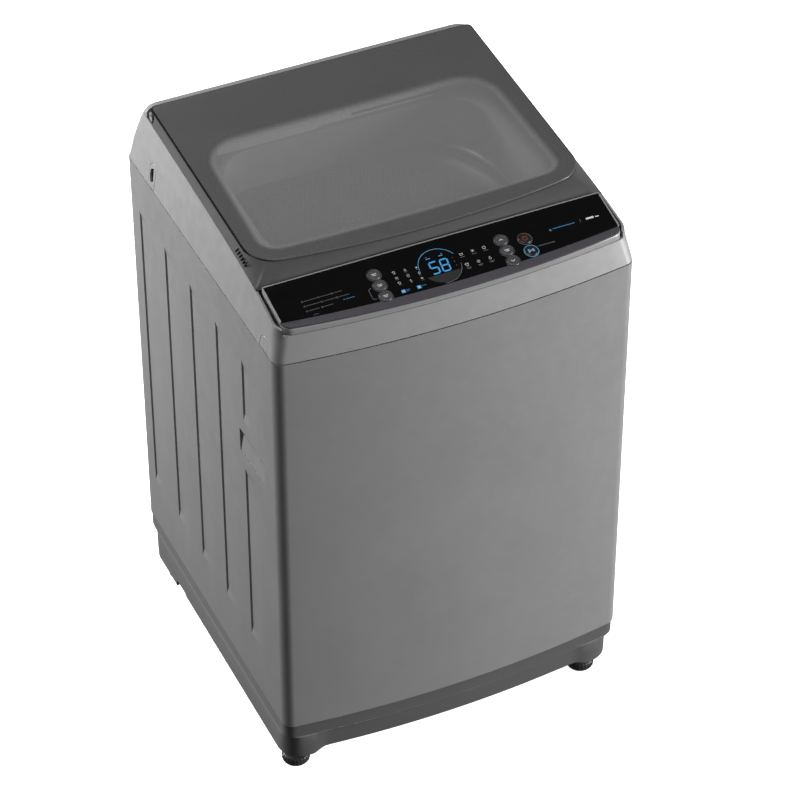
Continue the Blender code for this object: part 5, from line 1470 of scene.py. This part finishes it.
def buttons():
    """Round keys that stand just proud of the glass, each in a printed ring."""
    rise, depth = 0.0014, 0.01
    radius = BUTTON_RADIUS - 0.0002
    for name, (x, y) in BUTTONS.items():
        profile = [(0.0, rise - 0.00015), (radius - 0.003, rise - 0.0001), (radius - 0.0012, rise)]
        profile += [(radius - 0.0006, rise - 0.00015), (radius - 0.0002, rise - 0.0005), (radius, rise - 0.001)]
        profile += [(radius, -depth), (0.0, -depth)]
        piece = on_console(smooth(turned("visual_" + name, profile, 56), 40), x, y)
        lit = name in ("button_power", "button_start")
        put(piece, name, "dark_plastic", KEY_BLACK if lit else KEY_GREY, [name])
        shapes, ink = button_marks(name)
        print_on(name + "_mark", shapes, ink, name, rise - 0.00012, 0.00016, (x, y))
        ring_ink = {"button_power": INK_COPPER, "button_start": INK_CYAN}.get(name, KEY_GREY)
        ring = smooth(turned(name + "_ring", RING_PROFILE, 56), 40)
        put(on_console(ring, x, y), "cabinet", "dark_plastic", ring_ink)
    x, y = -0.1215, -0.2485
    hook = [(x + 0.0045, y + 0.0098), (x, y + 0.008), (x - 0.0004, y - 0.008), (x + 0.0042, y - 0.01)]
    bracket = stroke(hook, 0.0006)
    print_on("button_bracket", bracket, INK_GREY)


# ---------------------------------------------------------------- camera, light and floor


CAMERA_LENS = 153.77
CAMERA_PLACE = (-1.6232, -3.5567, 3.72)
CAMERA_TILT, CAMERA_TURN = 50.052, -25.036
SURROUND = 0.11


def camera():
    data = bpy.data.cameras.new("camera")
    data.lens = CAMERA_LENS
    data.sensor_width = 36.0
    data.clip_end = 50.0
    made = bpy.data.objects.new("camera", data)
    made.location = CAMERA_PLACE
    made.rotation_euler = (radians(CAMERA_TILT), 0.0, radians(CAMERA_TURN))
    bpy.context.scene.collection.objects.link(made)
    bpy.context.scene.camera = made


def area_light(name, place, target, size, power):
    data = bpy.data.lights.new(name, "AREA")
    data.shape = "RECTANGLE"
    data.size, data.size_y = size
    data.energy = power
    made = bpy.data.objects.new(name, data)
    made.location = place
    made.rotation_euler = (Vector(target) - Vector(place)).to_track_quat("-Z", "Y").to_euler()
    bpy.context.scene.collection.objects.link(made)


def studio():
    """A pale floor, a dim even surround and large soft lights."""
    camera()
    world = bpy.data.worlds.new("studio")
    bpy.context.scene.world = world
    world.use_nodes = True
    world.node_tree.nodes["Background"].inputs["Color"].default_value = (1.0, 1.0, 1.0, 1.0)
    world.node_tree.nodes["Background"].inputs["Strength"].default_value = SURROUND
    body = bmesh.new()
    bmesh.ops.create_grid(body, x_segments=1, y_segments=1, size=12.0)
    floor = piece_from("floor", body)
    pale = paint("floor_pale", (0.93, 0.93, 0.93), 0.7, 0.0, 40.0, 0.02, 0.01)
    lit = pale.node_tree.nodes["Principled BSDF"].inputs
    lit["Emission Color"].default_value = (1.0, 1.0, 1.0, 1.0)
    lit["Emission Strength"].default_value = 1.0
    floor.data.materials.append(pale)
    floor.visible_diffuse = False
    floor.visible_glossy = False
    area_light("left_rear_light", (-1.45, 1.2, 1.25), (-0.25, 0.0, 0.6), (1.0, 1.0), 62.0)
    area_light("right_front_light", (3.3, -2.3, 1.3), (0.1, -0.2, 0.5), (1.6, 1.8), 285.0)
    area_light("top_light", (-0.3, -0.3, 4.5), (0.0, 0.0, 0.8), (1.4, 1.4), 60.0)
    bpy.context.scene.view_settings.view_transform = "Standard"


# ---------------------------------------------------------------- all of it


def finish_cad_nodes():
    """Every CAD node that still shows gets its slot's material."""
    slots = {entry["node"]: entry["material_slot"] for entry in frame["record"]["subparts"]}
    for name, piece in frame["nodes"].items():
        material = MATERIALS[slots[name]]
        if piece.material_slots:
            for place in piece.material_slots:
                place.material = material
        else:
            piece.data.materials.append(material)


studio()
finish_cad_nodes()
cabinet_shell()
corner_gussets()
hand_cup("carry_handle_left", -1)
hand_cup("carry_handle_right", 1)
base()
for place, x, y in (("front_left", -1, -1), ("front_right", 1, -1), ("rear_left", -1, 1), ("rear_right", 1, 1)):
    foot("foot_" + place, x * FOOT_X, y * FOOT_Y)
top_frame()
side_caps()
cord_gland()
lid_glass()
lid_skirt()
lid_gap_painted_shade()
lid_vents()
lid_inner()
console()
display()
icons()
buttons()
basket_wall()
basket_floor()
rings_and_covers()
pulsator()
